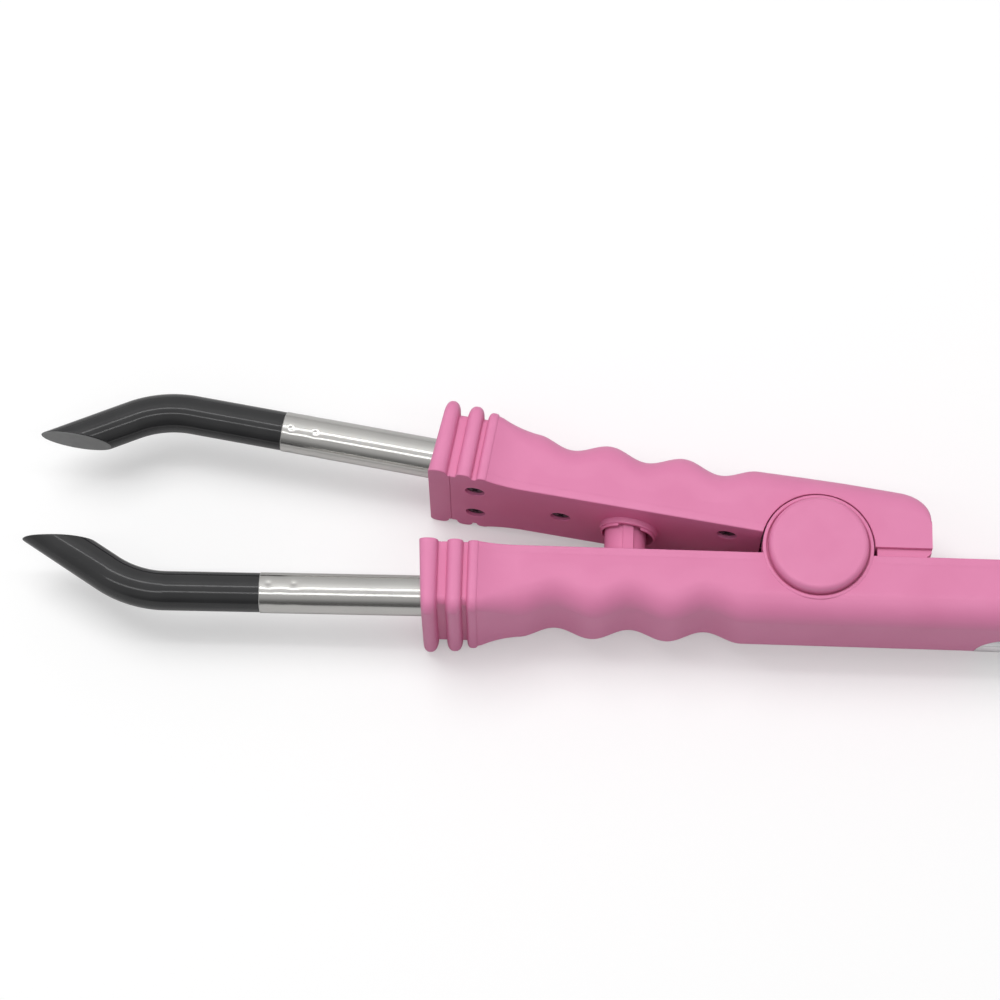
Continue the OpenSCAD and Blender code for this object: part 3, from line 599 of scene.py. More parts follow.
# %% Lower shell
RING_TOP = HALF + 0.15
CAP_R, CAP_FLOOR, GROOVE = CAP_D / 2 + 0.1, HALF - 0.8, 0.4
GLAND_Y = -6.3
floor = LOWER_W - HOLLOW_DEPTH - WALL
form = hollowed(arm_form(LOWER_W, rear_end), LOWER_W, LOWER_AXIS, REAR_LEN - 4)
form = combine(form, "DIFFERENCE",
               block(COVER_FROM - FIT, REAR_LEN - 4, -COVER_T - FIT, 5, -40, 40))
cheeks = both_sides([(0, KNUCKLE_T / 2 + 0.4), (HUB_R - 0.1, KNUCKLE_T / 2 + 0.4),
                     (HUB_R, KNUCKLE_T / 2 + 0.5)] + round_over(HUB_R, RING_TOP, 0.6, 5, 0.2)
                    + [(0, RING_TOP)], LOWER_FACE)
form = combine(form, "UNION", *cheeks, cradle(LOWER_W, LOWER_AXIS),
               *rods(FRONT_PLACES + REAR_PLACES, floor + 0.02, COVER_T + 0.1, BOSS_R),
               *rods(BOARD_PLACES, floor + 0.02, 9.2, 2.2))
seats = both_sides([(0, 5), (4.3, 5), (4.3, CAP_FLOOR), (CAP_R + GROOVE, CAP_FLOOR),
                    (CAP_R + GROOVE, RING_TOP - 0.15), (CAP_R + 0.6, RING_TOP + 0.05),
                    (CAP_R + 0.6, 20), (0, 20)], LOWER_FACE)
form = combine(form, "DIFFERENCE", *seats,
               cylinder(4, REAR_LEN - 6, REAR_LEN + 2, at=(0, GLAND_Y, 0), axis="X"),
               cylinder(2.55, -20, 20, at=(0, LOWER_FACE, 0)),
               *rods(FRONT_PLACES + REAR_PLACES, 9, -1, PILOT_R, 24),
               *rods(CLAMP_PLACES, LOWER_W - 3, -1, PILOT_R, 24),
               *rods(BOARD_PLACES, floor + 0.6, 0, PILOT_R, 24))
piece(form, "lower_moulding", "lower_shell", LOWER_ARM)

# %% [markdown]
# ## Upper arm
#
# The upper arm's knuckle sits between the cheeks. A round recess on each side clears the
# hub ring by 0.3 mm, which shows as the thin dark line round the ring.
# Its tail is cut off square to the lower arm, so the cutting blocks are drawn in the
# iron's own frame and taken back into the arm's frame.

# %% Upper shell
TAIL_FACE = LOWER_FACE - 2.1
floor = UPPER_W - HOLLOW_DEPTH - WALL
recesses = both_sides([(0, KNUCKLE_T / 2), (HUB_R + 0.3, KNUCKLE_T / 2),
                       (HUB_R + 0.3, HALF - 0.12), (HUB_R + 0.45, HALF + 0.03),
                       (HUB_R + 0.45, 20), (0, 20)], UPPER_FACE)
from_world = (IN_WORLD.inverted() @ UPPER_ARM).inverted()
trims = [laid(block(*box), from_world) for box in (
    (7, 47, -12, -TAIL_FACE, -20, 20), (TAIL_LEN, TAIL_LEN + 20, -20, 40, -20, 20))]
form = combine(arm_form(UPPER_W, tail), "DIFFERENCE", *recesses)
form = hollowed(form, UPPER_W, UPPER_AXIS, -11.5)
form = combine(form, "DIFFERENCE", *trims,
               tunnel(HUB_R + 1.6, TAIL_LEN - 3.4, UPPER_W - 5, HALF - WALL - 0.6, 2.5))
knuckle = turned([(0, -KNUCKLE_T / 2), (10.3, -KNUCKLE_T / 2), (10.5, -KNUCKLE_T / 2 + 0.2),
                  (10.5, KNUCKLE_T / 2 - 0.2), (10.3, KNUCKLE_T / 2), (0, KNUCKLE_T / 2)],
                 128, (0, UPPER_FACE, 0))


def tail_rods(*sizes):
    return [laid(cylinder(*sizes, (TAIL_X, -TAIL_FACE, z), "Y"), from_world) for z in TAIL_SIDES]


form = combine(form, "UNION", knuckle, cradle(UPPER_W, UPPER_AXIS), *tail_rods(BOSS_R, 0, 10.4, 32),
               rod((-POST_LEN - 0.3, 0), floor + 0.02, 4.7, 2.5),
               *rods(FRONT_PLACES, floor + 0.02, COVER_T + 0.1, BOSS_R))
form = combine(form, "DIFFERENCE", *tail_rods(PILOT_R, -1, 6, 24),
               cylinder(3.5, -20, 20, at=(0, UPPER_FACE, 0)),
               *rods(FRONT_PLACES, 9.6, -1, PILOT_R, 24),
               *rods(CLAMP_PLACES, UPPER_W - 3, -1, PILOT_R, 24))
piece(form, "upper_moulding", "upper_shell", UPPER_ARM)

# %% [markdown]
# ## Inner covers
#
# A cover is the slice of the arm's own form that the shell has lost, so its outline
# follows the ridges exactly. Each screw sinks into a counterbore. The lower cover has a
# hole for the guide post and its key. The upper one carries a raised ring with a thin
# lip round the post, and the lip is notched where the key passes.

# %% Covers
GUIDE_AT, GUIDE_R = POST_LEN - 0.15, 5.9
KEY_X, KEY_HALF = 0.6 - POST_LEN, 1.2
SEAM_GAP = 0.13


def counterbore(place):
    x, z = place
    return turned([(0, -4), (1.3, -4), (1.3, -1.45), (2.25, -1.45), (2.25, -0.1), (2.38, 0.03),
                   (2.38, 3), (0, 3)], 48, (x, 0, z), "Y")


def cover_slice(form, x0, x1, places):
    form = combine(form, "INTERSECT", block(x0, x1, -COVER_T, 5, -40, 40))
    return combine(form, "DIFFERENCE", *[counterbore(p) for p in places])


def seam_line():
    """The fine open joint across the inner face, where a cover meets the collar."""
    return block(-SEAM - 1, SEAM_GAP - SEAM, -0.2, 4, -40, 40)


front = (FIT - SEAM, -COVER_FROM, FRONT_PLACES + CLAMP_PLACES)
form = cover_slice(arm_form(LOWER_W, rear_end), *front)
form = combine(form, "DIFFERENCE", seam_line(), rod((-POST_LEN, 0), 4, -1, 4.8, 64),
               block(KEY_X - KEY_HALF - 0.1, KEY_X + KEY_HALF + 0.1, -4, 1, -5.3, 5.3))
piece(form, "lower_front_plate", "lower_front_cover", LOWER_ARM)

form = cover_slice(arm_form(LOWER_W, rear_end), COVER_FROM, REAR_LEN - 4.1, REAR_PLACES)
form = combine(form, "DIFFERENCE", block(SWITCH_AT - 6.75, SWITCH_AT + 6.75, -4, 1, -4.45, 4.45),
               rod((LAMP_AT, 0), 4, -1, 2.05, 48))
piece(form, "lower_rear_plate", "lower_rear_cover", LOWER_ARM)

form = cover_slice(arm_form(UPPER_W, tail), *front)
ring = turned([(0, -0.5), (GUIDE_R + 0.95, -0.5), (GUIDE_R + 0.9, -0.1), (GUIDE_R + 0.85, 0.0)]
              + round_over(GUIDE_R + 0.67, 1.3, 0.2, 4) + [(0, 1.3)], 96, (-GUIDE_AT, 0, 0), "Y")
lip = turned([(0, -0.5), (GUIDE_R + 0.35, -0.5)] + round_over(GUIDE_R + 0.35, 1.9, 0.12, 3)
             + [(0, 1.9)], 96, (-GUIDE_AT, 0, 0), "Y")
notch = block(KEY_X - KEY_HALF - 1.6, KEY_X + KEY_HALF + 1.1, 1.3, 4, -9, 9)
form = combine(form, "UNION", ring, lip)
form = combine(form, "DIFFERENCE", notch, seam_line(),
               cylinder(GUIDE_R, -4, 4, 96, (-GUIDE_AT, 0, 0), "Y"))
piece(form, "upper_plate", "upper_cover", UPPER_ARM)

# %% [markdown]
# ## Hub caps
#
# Each cap is a turned disc, hollow underneath, that stands 2.45 mm proud of the ring.
# Its rim falls in a soft quarter round into a groove 0.4 mm wide, whose shade draws the
# dark line round the cap. A mirrored profile makes the one on the underside.

# %% Hub caps
CAP_TOP = HALF + 2.6
profile = ([(0, CAP_FLOOR + 0.75), (CAP_R - 1.4, CAP_FLOOR + 0.75), (CAP_R - 1.4, CAP_FLOOR),
            (CAP_R, CAP_FLOOR)] + round_over(CAP_R, CAP_TOP - 0.05, 1.2, 12, 1.5)
           + [(CAP_R * 0.7, CAP_TOP - 0.02), (CAP_R * 0.4, CAP_TOP - 0.005), (0, CAP_TOP)])
for name, node, side in (("hub_cap_up", "upside_cap", 1), ("hub_cap_down", "underside_cap", -1)):
    form = turned([(radius, side * height) for radius, height in profile], 160)
    piece(form, name, node, IN_WORLD)

# %% [markdown]
# ## Barrels
#
# A barrel is a steel tube with eased ends, turned about its own axis. Near the joint a
# punch has left two rows of four shallow dents, which crimp it onto the tip's stem. The
# profile is divided finely there, and each point is moved inwards by its distance from
# the nearest dent. Cutting the dents with spheres would leave sharp rims.

# %% Barrels
JOINT = 125.8 - CLAMP_AT
DENT_ROWS, DENT_TURN = (2.1, 7.9), math.radians(9)


def dented(form, radius, deep):
    """The tube with its dents pressed in to this depth, four to a row."""
    for vert in form.verts:
        reach = math.hypot(vert.co.y, vert.co.z)
        if reach < radius - 0.01:
            continue
        turn = math.atan2(vert.co.y, vert.co.z) - DENT_TURN
        off = turn - math.pi / 2 * round(turn / (math.pi / 2))
        for row in DENT_ROWS:
            away = math.hypot(vert.co.x + JOINT - row, radius * off)
            depth = deep * (math.exp(-(away / 0.6) ** 2) + 0.35 * math.exp(-(away / 1.5) ** 2))
            if away < 3.2:
                vert.co.y *= 1 - depth / reach
                vert.co.z *= 1 - depth / reach
    return form


for name, node, arm, axis_depth, deep, finish in (
        ("lower_tube", "lower_barrel", LOWER_ARM, LOWER_AXIS, 0.22, "barrel"),
        ("upper_tube", "upper_barrel", UPPER_ARM, UPPER_AXIS, 0.13, "upper_barrel")):
    inner, outer, rear = BARREL_D / 2 - 0.5, BARREL_D / 2, CLAMP_AT - BARREL_REAR
    fine = [(outer, 0.15 - JOINT + 0.2 * k) for k in range(58)]
    form = turned([(inner, -JOINT + 0.1), (inner + 0.1, -JOINT), (outer - 0.15, -JOINT)] + fine
                  + [(outer, rear), (inner, rear), (inner, -JOINT + 0.1)], 160, axis="X")
    tube = piece(dented(form, outer, deep), name, node, arm @ barrel_line(axis_depth), sharp=30)
    tube.data.materials[0] = finishes[finish]

# %% [markdown]
# ## Tips
#
# A tip is one bar. It starts as a disc at the joint, which is extruded straight, spun
# through the bend about a point beside it, and extruded again. One plane cuts the face
# that presses the bond, and its rim is then bevelled. Behind the joint a thinner stem
# fits the barrel and is bored for the heater. The press that bent the lower bar has also
# flattened its upper side a little, more and more towards the front. Only the gloss
# shows it, as two lines of light that part.

# %% Tips
TIP_R, STEM_R, STEM_LEN = 4.5, 4.1, 12.0
BEND = 147.3 - CLAMP_AT
BEND_R, BEND_ANGLE = 25.0, math.radians(33)
HEATER_BORE_R, HEATER_BORE_LEN = 2.8, 33.7
FACE_SLANT, JAW_GAP = math.radians(0.43), 0.2  # left between the faces when shut
FLAT_AT, FLAT_TURN = 173.0, SPLAY + FACE_SLANT / 2
spread = 2 * (FLAT_AT - CLAMP_AT) * math.tan(SPLAY) + LOWER_FACE + UPPER_FACE
FLAT_H = (spread + LOWER_AXIS + UPPER_AXIS + FLAT_AT * math.tan(FACE_SLANT) - JAW_GAP) / 2
PRESS_TURN, PRESS_HALF = math.radians(14.5), math.radians(36)
finishes["rubbed"] = surface("rubbed_grey_coating", (0.25, 0.25, 0.25), (0.22, 0.22, 0.22),
                             (0.55, 0.7), drift=3.0, grain=0.3, bump=0.006)


def moved_face(form, face, vec):
    """The face extruded along vec."""
    face = extruded(form, face)
    bmesh.ops.translate(form, vec=vec, verts=face.verts)
    return face


def pressed(form, depth):
    """The bar with its upper side pressed in by up to this depth."""
    for vert in form.verts:
        along, across = vert.co.x + BEND, vert.co.y - BEND_R
        turn = min(max(math.atan2(-along, -across), 0), BEND_ANGLE)
        back = Matrix.Rotation(turn, 3, "Z")
        local = back @ Vector((along, across, vert.co.z))
        side = math.atan2(local.y + BEND_R, local.z) + PRESS_TURN
        grown = min(1, max(0, (-JOINT - vert.co.x) / 25))
        if abs(side) < PRESS_HALF:
            amount = depth * grown * (1 + math.cos(math.pi * side / PRESS_HALF)) / 2
            angle = side - PRESS_TURN
            inward = Vector((0, -math.sin(angle), -math.cos(angle))) * amount
            vert.co += back.inverted() @ inward


def bar_tip(depth):
    form = bmesh.new()
    bmesh.ops.create_circle(form, cap_ends=True, segments=96, radius=TIP_R,
                            matrix=Matrix.Translation((-JOINT, 0, 0))
                            @ Matrix.Rotation(math.pi / 2, 4, "Y"))
    rear = form.faces[:][0]
    front = extruded(form, rear, keep=True)
    bmesh.ops.translate(form, vec=(JOINT - BEND, 0, 0), verts=front.verts)
    bent = bmesh.ops.spin(form, geom=[front], cent=(-BEND, BEND_R, 0), axis=(0, 0, 1),
                          angle=-BEND_ANGLE, steps=24)["geom_last"]
    form.faces.remove(front)
    front = next(part for part in bent if isinstance(part, bmesh.types.BMFace))
    along = Matrix.Rotation(-BEND_ANGLE, 3, "Z") @ Vector((-30, 0, 0))
    moved_face(form, front, along)
    pressed(form, depth)
    normal = Matrix.Rotation(-FLAT_TURN, 3, "Z") @ Vector((0, 1, 0))
    cut = bmesh.ops.bisect_plane(
        form, geom=form.verts[:] + form.edges[:] + form.faces[:],
        plane_co=(CLAMP_AT - FLAT_AT, FLAT_H, 0), plane_no=normal, clear_outer=True)["geom_cut"]
    rim = [part for part in cut if isinstance(part, bmesh.types.BMEdge)]
    flat = bmesh.ops.contextual_create(form, geom=rim)["faces"]
    flat[0].material_index = 1
    bmesh.ops.bevel(form, geom=rim, offset=0.45, offset_type="OFFSET", affect="EDGES",
                    segments=4, profile=0.5, material=-1)
    rear = max(form.faces, key=lambda face: face.calc_center_median().x)
    bmesh.ops.inset_region(form, faces=[rear], thickness=TIP_R - STEM_R, use_even_offset=True)
    rear = moved_face(form, rear, (STEM_LEN, 0, 0))
    bmesh.ops.inset_region(form, faces=[rear], thickness=STEM_R - HEATER_BORE_R,
                           use_even_offset=True)
    moved_face(form, rear, (-HEATER_BORE_LEN, 0, 0))
    return form


for name, node, arm, axis_depth, depth in (
        ("lower_bar_tip", "lower_tip", LOWER_ARM, LOWER_AXIS, 0.16),
        ("upper_bar_tip", "upper_tip", UPPER_ARM, UPPER_AXIS, 0)):
    tip = piece(bar_tip(depth), name, node, arm @ barrel_line(axis_depth))
    tip.data.materials.append(finishes["rubbed"])

# %% [markdown]
# ## Parts with eased corners
#
# Some parts have the right shape in the CAD model and only want eased corners, which
# catch the light. A copy of the node's mesh has its loose triangles merged into faces,
# and a Bevel modifier rounds the corners.

# %% Eased copies
def eased(node, name, soft, segments=3):
    """A copy of a CAD node whose corners are rounded over soft mm."""
    form = bmesh.new()
    form.from_mesh(frame["nodes"][node].data)
    bmesh.ops.remove_doubles(form, verts=form.verts, dist=1e-6)
    bmesh.ops.dissolve_limit(form, angle_limit=math.radians(0.5), verts=form.verts,
                             edges=form.edges)
    bmesh.ops.scale(form, vec=(1000, 1000, 1000), verts=form.verts)
    made = piece(form, name, node, Matrix())
    ease = made.modifiers.new("eased_corners", "BEVEL")
    ease.width, ease.segments, ease.limit_method = soft * MM, segments, "ANGLE"
    ease.angle_limit = math.radians(32)
    ease.harden_normals = True
    made.modifiers.move(1, 0)
    return made


eased("tail_cover", "tail_lip", 0.2)
eased("guide_post", "post", 0.15)
eased("switch_body", "switch_housing", 0.15)
eased("power_rocker", "rocker_button", 0.2)

# %% [markdown]
# ## Screws
#
# A screw is turned with a domed head and a ringed shank. Two tapered bars cut the cross
# into the head. One form is copied to every place on the same cover.

# %% Screws
HEAD_R, SHANK_R = 2.1, 1.15


def screw(length):
    shank = [(0, -0.9 - length), (SHANK_R - 0.3, -0.9 - length)]
    height = 0.3 - 0.9 - length
    while height < -1.9:
        shank += [(SHANK_R, height), (SHANK_R - 0.2, height + 0.3)]
        height += 0.8
    shank += [(SHANK_R - 0.05, -1.4), (SHANK_R - 0.05, -0.9)]
    head = [(HEAD_R - 0.1, -0.9), (HEAD_R, -0.8), (HEAD_R, -0.35), (HEAD_R - 0.1, -0.2),
            (HEAD_R - 0.4, -0.09), (HEAD_R * 0.5, -0.03), (0, 0)]
    form = turned(shank + head, 48)
    for turn in (math.pi / 4, 3 * math.pi / 4):
        bar = block(-1.3, 1.3, -0.28, 0.28, -0.65, 0.5)
        low = [vert for vert in bar.verts if vert.co.z < 0]
        bmesh.ops.scale(bar, vec=(0.55, 0.6, 1), verts=low)
        bmesh.ops.rotate(bar, cent=(0, 0, 0), matrix=Matrix.Rotation(turn, 3, "Z"), verts=bar.verts)
        form = combine(form, "DIFFERENCE", bar)
    return form


def screw_set(batches):
    """One form with a screw at every place: batches of (length, places in (x, y, z), turn)."""
    form = bmesh.new()
    for length, places, lay in batches:
        one = screw(length)
        mesh = bpy.data.meshes.new("working")
        one.to_mesh(mesh)
        one.free()
        for place in places:
            before = len(form.verts)
            form.from_mesh(mesh)
            form.verts.ensure_lookup_table()
            bmesh.ops.transform(form, matrix=Matrix.Translation(place) @ lay,
                                verts=form.verts[before:])
        bpy.data.meshes.remove(mesh)
    return form


OUT = Matrix.Rotation(-math.pi / 2, 4, "X")


def sunk(places):
    """Where the heads lie, half a millimetre below the inner face."""
    return [(x, -0.5, z) for x, z in places]


piece(screw_set([(6.1, sunk(FRONT_PLACES), OUT), (LOWER_W - 5.4, sunk(CLAMP_PLACES), OUT)]),
      "lower_phillips_screws", "lower_screws", LOWER_ARM)
piece(screw_set([(6.1, sunk(REAR_PLACES), OUT)]),
      "rear_phillips_screws", "rear_screws", LOWER_ARM)
tail_lay = UPPER_ARM.inverted() @ Matrix.Rotation(math.pi / 2, 4, "X")
tail_lay.translation = (0, 0, 0)
tail_heads = [UPPER_ARM.inverted() @ Vector((TAIL_X, -LOWER_FACE + 0.2, HINGE_Z + z))
              for z in TAIL_SIDES]
piece(screw_set([(6.1, sunk(FRONT_PLACES), OUT), (UPPER_W - 5.4, sunk(CLAMP_PLACES), OUT),
                 (5, tail_heads, tail_lay)]),
      "upper_phillips_screws", "upper_screws", UPPER_ARM)

# %% [markdown]
# ## Label place
#
# A blank silver label with a pale rim is stuck on the outer side of the rear handle and
# wraps round its lower corner. It is cut flat, with full round ends, and its rim is
# inset. Planes then divide it into narrow strips, so that it can be rolled onto the
# handle. A Solidify modifier gives it the thickness of a foil.

# %% Blank label
LABEL_END, LABEL_LEN, LABEL_R, LABEL_UP = 37.1, 34.0, 8.5, -1.6


def rolled(along, up):
    """Where a point of the flat label lies: up is measured from the lower corner's start."""
    radius = EDGE_R + 0.02
    turn = -up / radius
    if turn < 0:
        return Vector((along, -LOWER_W - 0.02, up + EDGE_R - HALF))
    if turn < math.pi / 2:
        return Vector((along, EDGE_R - LOWER_W - radius * math.cos(turn),
                       EDGE_R - HALF - radius * math.sin(turn)))
    return Vector((along, EDGE_R - LOWER_W + (turn - math.pi / 2) * radius, -HALF - 0.02))


form = bmesh.new()
ends = [(LABEL_END + LABEL_LEN - LABEL_R, -math.pi / 2), (LABEL_END + LABEL_R, math.pi / 2)]
around = [form.verts.new((x + LABEL_R * math.cos(start + math.pi * k / 24), 0,
                          LABEL_R * math.sin(start + math.pi * k / 24)))
          for x, start in ends for k in range(25)]
plate = form.faces.new(around)
bmesh.ops.inset_region(form, faces=[plate], thickness=0.55, use_even_offset=True)
for face in form.faces:
    face.material_index = 0 if face is plate else 1
for k in range(1, 28):
    bmesh.ops.bisect_plane(form, geom=form.verts[:] + form.edges[:] + form.faces[:],
                           plane_co=(0, 0, LABEL_R * (2 * k / 28 - 1)), plane_no=(0, 0, 1))
for vert in form.verts:
    vert.co = rolled(vert.co.x, vert.co.z + LABEL_UP)
laid(form, Matrix.Scale(MM, 4) @ LOWER_ARM)
bmesh.ops.recalc_face_normals(form, faces=form.faces)
if sum((face.normal.y for face in form.faces)) > 0:
    bmesh.ops.reverse_faces(form, faces=form.faces)
for face in form.faces:
    face.smooth = True
label = as_object(form, "blank_label")
mesh = label.data
mesh.materials.append(surface("silver_label", (0.95, 0.95, 0.96), (0.88, 0.88, 0.89),
                              (0.25, 0.35), drift=3.0, grain=0.12, bump=0.002, Metallic=0.9))
mesh.materials.append(surface("white_label_rim", (0.90, 0.89, 0.89), (0.86, 0.85, 0.85),
                              (0.3, 0.4), grain=0.12, bump=0.002))
foil = label.modifiers.new("foil", "SOLIDIFY")
foil.thickness, foil.offset = 0.08 * MM, 1
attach(label, "lower_arm")
print("label faces:", len(mesh.polygons))

# %% [markdown]
# ## Lens and cord gland
#
# Both are turned: the lens as a flanged stem with a dome, and the gland as a grooved
# rubber bush whose outer rim is rounded.

# %% Lens and gland
dome = [(2.62 * math.sin(t), 2.62 * math.cos(t) - 1.6) for t in
        [math.asin(2 / 2.62) * (1 - k / 8) for k in range(9)]]
form = turned([(0, -2.9), (2.7, -2.9), (2.8, -2.8), (2.8, -2.2), (2.7, -2.1), (1.97, -2.1)]
              + dome, 64, (LAMP_AT, 0, 0), "Y")
piece(form, "lens_dome", "indicator_lens", LOWER_ARM)
form = turned([(2.7, REAR_LEN - 5.6), (4, REAR_LEN - 5.6), (4.1, REAR_LEN - 5.5),
               (4.1, REAR_LEN - 4.2), (3.9, REAR_LEN - 4.1), (3.9, REAR_LEN + 0.1),
               (4.85, REAR_LEN + 0.1), (5, REAR_LEN + 0.25)]
              + [(4.6 + 0.4 * math.cos(t), REAR_LEN + 1.7 + 0.4 * math.sin(t))
                 for t in [math.pi / 2 * k / 5 for k in range(6)]]
              + [(3.1, REAR_LEN + 2.1), (2.7, REAR_LEN + 1.7), (2.7, REAR_LEN - 5.6)],
              96, (0, GLAND_Y, 0), "X")
piece(form, "rubber_gland", "cord_gland", LOWER_ARM)

# %% [markdown]
# ## Spring and leads
#
# The return spring is a round wire wound on a helix, closed at both ends. A curve with a
# round bevel makes the wire, and it is turned into a mesh. The jaws press the spring as
# they shut, but here it is built once, at the length it has at this opening. Two leads
# cross the hinge, each about 37 mm long, and bend between the arms.

# %% Spring
def wire(name, runs, radius, place):
    """One mesh with a round wire along each run of points in mm."""
    data = bpy.data.curves.new(name, "CURVE")
    data.dimensions = "3D"
    data.bevel_depth, data.bevel_resolution, data.use_fill_caps = radius, 4, True
    for run in runs:
        spline = data.splines.new("POLY")
        spline.points.add(len(run) - 1)
        for point, at in zip(spline.points, run):
            point.co = (*at, 1)
    curve = bpy.data.objects.new(name, data)
    scene.collection.objects.link(curve)
    form = bmesh.new()
    form.from_mesh(curve.evaluated_get(bpy.context.evaluated_depsgraph_get()).to_mesh())
    bpy.data.objects.remove(curve)
    bpy.data.curves.remove(data)
    return laid(form, place)


STUD_AT, POST_REACH = POST_LEN + 0.3, 8.6
spring_low = POST_REACH - 1.3
stud_y = ((UPPER_FACE + 4.7) * math.cos(OPEN_ANGLE) + STUD_AT * math.sin(OPEN_ANGLE) + LOWER_FACE)
spring_len = spring_low + stud_y - 2.5 * math.sin(OPEN_ANGLE) - 0.35
helix = [(2.3, 0, 0.3)]
for k in range(10 * 32 + 1):
    turn = math.tau * k / 32
    helix.append((2.3 * math.cos(turn), 2.3 * math.sin(turn),
                  0.78 + k / 320 * (spring_len - 1.56)))
helix.append((2.3, 0, spring_len - 0.3))
lay = Matrix.Translation((-POST_LEN, -spring_low, 0)) @ Matrix.Rotation(-math.pi / 2, 4, "X")
spring = piece(wire("coil", [helix], 0.3, lay), "coil_spring", "return_spring", LOWER_ARM)
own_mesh(spring)

# %% Leads
def rounded(points, steps=8):
    """Points of a smooth line (Catmull-Rom) through these."""
    points = [Vector(p) for p in points]
    ends = [points[0] * 2 - points[1]] + points + [points[-1] * 2 - points[-2]]
    line = []
    for a, b, c, d in zip(ends, ends[1:], ends[2:], ends[3:]):
        for k in range(steps):
            t = k / steps
            line.append(0.5 * ((2 * b) + (c - a) * t + (2 * a - 5 * b + 4 * c - d) * t ** 2
                               + (3 * b - a - 3 * c + d) * t ** 3))
    return line + [points[-1]]


def both_leads(points):
    return [rounded([(x, y, side * z) for x, y, z in points]) for side in (-1, 1)]


deep = LOWER_FACE + LOWER_W - HOLLOW_DEPTH - WALL - 0.7
crossing = [(0.6 - HUB_R, UPPER_FACE + 0.25, 2), (0.6 - HUB_R, -3, 2),
            (0.8 - HUB_R, 3.5 - deep, 2.1), (2.1 - HUB_R, 0.7 - deep, 2),
            (5.5 - HUB_R, -deep, 1.6), (HUB_R + 1.5, -deep, 1.6)]
leads = piece(wire("lead", both_leads(crossing), 0.54, Matrix()), "crossing_leads", "hinge_leads",
              IN_WORLD, rides=False)
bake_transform(leads)

# %% [markdown]
# ## Parts inside
#
# The heaters, clamps, board, pin and the long leads are hidden inside. Their CAD shape is
# right, so each keeps it and takes its finish.

# %% Finishes of the parts inside
kept = [node for node in frame["nodes"] if not frame["nodes"][node].hide_render]
for node in kept:
    mesh = frame["nodes"][node].data
    mesh.materials.clear()
    mesh.materials.append(finishes[slot_of[node]])
print("CAD nodes kept:", kept)

# %% [markdown]
# ## Studio
#
# The iron lies on a white table in even soft light, with one broad lamp high up and a
# little behind it. Two long tubes of light give the thin bright lines along the steel and
# the tips. The gloss also mirrors a light tent, which is brightest just behind the zenith
# and falls off towards its open front, so that the steel gets its one dark line. The
# table is white to the camera alone. The plastic and the metal meet a mid grey, so that
# it throws less light up on their sides. Far from the iron the table fades to pure white,
# so that a view from low down has no grey horizon.

# %% Table
FLOOR_Z = cad_low.z - 0.02 * MM
TABLE_GREY = (0.61, 0.61, 0.61, 1)
FADE_SPAN, NEAR_GLOW = (0.3, 0.9), 0.3  # metres from the hub, and the glow nearer than that
form = bmesh.new()
bmesh.ops.create_grid(form, x_segments=1, y_segments=1, size=6)
bmesh.ops.translate(form, vec=(0, 0, FLOOR_Z), verts=form.verts)
table = as_object(form, "table")
table_top = bpy.data.materials.new("white_table")
table_top.use_nodes = True
nodes, links = table_top.node_tree.nodes, table_top.node_tree.links
shader = nodes["Principled BSDF"]
shader.inputs["Roughness"].default_value = 0.7
shader.inputs["Specular IOR Level"].default_value = 0.2
white = nodes.new("ShaderNodeEmission")
white.inputs["Color"].default_value = (1, 1, 1, 1)
white.inputs["Strength"].default_value = 1
seen = nodes.new("ShaderNodeLightPath")
colour = mixed(nodes, links, seen.outputs["Is Camera Ray"], TABLE_GREY, (1, 1, 1, 1))
links.new(colour, shader.inputs["Base Color"])
where = nodes.new("ShaderNodeTexCoord")
away = nodes.new("ShaderNodeVectorMath")
away.operation = "LENGTH"
links.new(where.outputs["Object"], away.inputs[0])
glow = ranged(nodes, links, away.outputs["Value"], FADE_SPAN, (NEAR_GLOW, 1))
share = nodes.new("ShaderNodeMath")
share.operation = "MULTIPLY"
links.new(seen.outputs["Is Camera Ray"], share.inputs[0])
links.new(glow, share.inputs[1])
blend = nodes.new("ShaderNodeMixShader")
links.new(share.outputs["Value"], blend.inputs["Fac"])
links.new(shader.outputs["BSDF"], blend.inputs[1])
links.new(white.outputs["Emission"], blend.inputs[2])
links.new(blend.outputs["Shader"], nodes["Material Output"].inputs["Surface"])
table.data.materials.append(table_top)
print("table at", round(1000 * FLOOR_Z, 2), "mm")

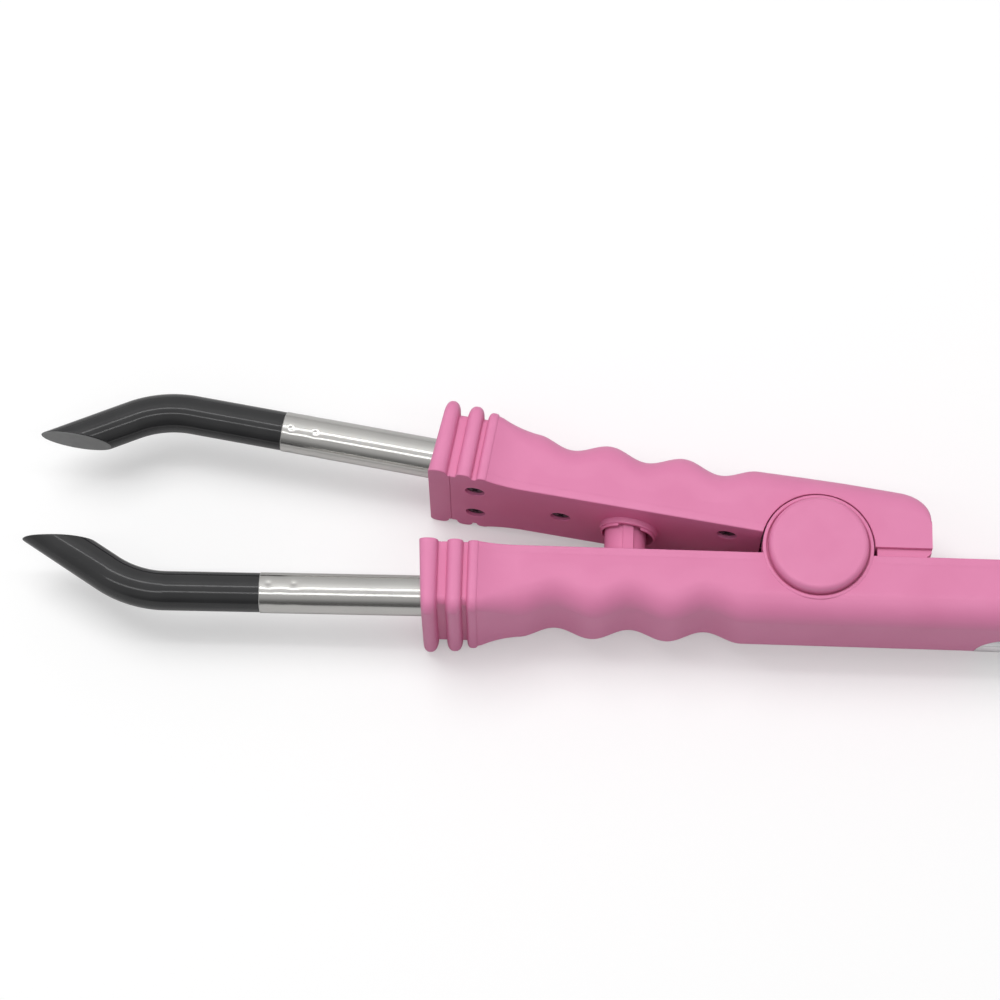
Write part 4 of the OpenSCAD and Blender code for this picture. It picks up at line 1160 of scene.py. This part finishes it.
# %% Light tent
scene.view_settings.view_transform = "Standard"
scene.world = bpy.data.worlds.new("tent")
scene.world.use_nodes = True
nodes, links = scene.world.node_tree.nodes, scene.world.node_tree.links
sky = nodes["Background"]
direction = nodes.new("ShaderNodeTexCoord")
axes = nodes.new("ShaderNodeSeparateXYZ")
links.new(direction.outputs["Generated"], axes.inputs["Vector"])


def ramp(value, stops):
    """Brightness against a value from -1 to 1, through these stops."""
    made = nodes.new("ShaderNodeValToRGB")
    spots = made.color_ramp.elements
    while len(spots) < len(stops):
        spots.new(0.5)
    for spot, (at, bright) in zip(spots, stops):
        spot.position, spot.color = (at + 1) / 2, (bright, bright, bright, 1)
    links.new(ranged(nodes, links, value, (-1, 1)), made.inputs["Fac"])
    return made.outputs["Color"]


tent = ramp(axes.outputs["Y"], [
    (-1, 0.1), (-0.96, 0.12), (-0.9, 0.22), (-0.8, 0.4), (-0.7, 0.48), (-0.54, 0.5),
    (-0.09, 0.72), (0.25, 0.95), (0.42, 1.0), (0.62, 0.78), (0.79, 0.68), (0.92, 0.6), (1, 0.5)])
ray = nodes.new("ShaderNodeLightPath")
above = ramp(axes.outputs["Z"], [(-1, 0), (0.11, 0), (0.17, 1), (1, 1)])
room = mixed(nodes, links, ray.outputs["Is Glossy Ray"], (0.45, 0.45, 0.45, 1), tent)
behind = mixed(nodes, links, above, (0.97, 0.97, 0.97, 1), room)
links.new(mixed(nodes, links, ray.outputs["Is Camera Ray"], room, behind), sky.inputs["Color"])
sky.inputs["Strength"].default_value = 1


def lamp(name, place, aim, length, width, power):
    """A long area lamp at place, turned to aim, its length along X."""
    data = bpy.data.lights.new(name, "AREA")
    data.shape, data.size, data.size_y = "RECTANGLE", length, width
    data.energy = power
    made = bpy.data.objects.new(name, data)
    scene.collection.objects.link(made)
    made.location = place
    made.rotation_euler = (Vector(aim) - Vector(place)).to_track_quat("-Z", "Y").to_euler()
    return made


lamp("tube_behind", (-0.09, 0.185, 1.2), (-0.09, 0, 0), 1.6, 0.08, 1.6)
lamp("tube_before", (-0.09, -0.48, 1.18), (-0.09, 0, 0), 1.6, 0.08, 1.6)
broad = lamp("broad", (-0.32, 0.32, 1.2), (-0.05, 0, 0), 0.7, 0.7, 7.6)
broad.visible_glossy = False
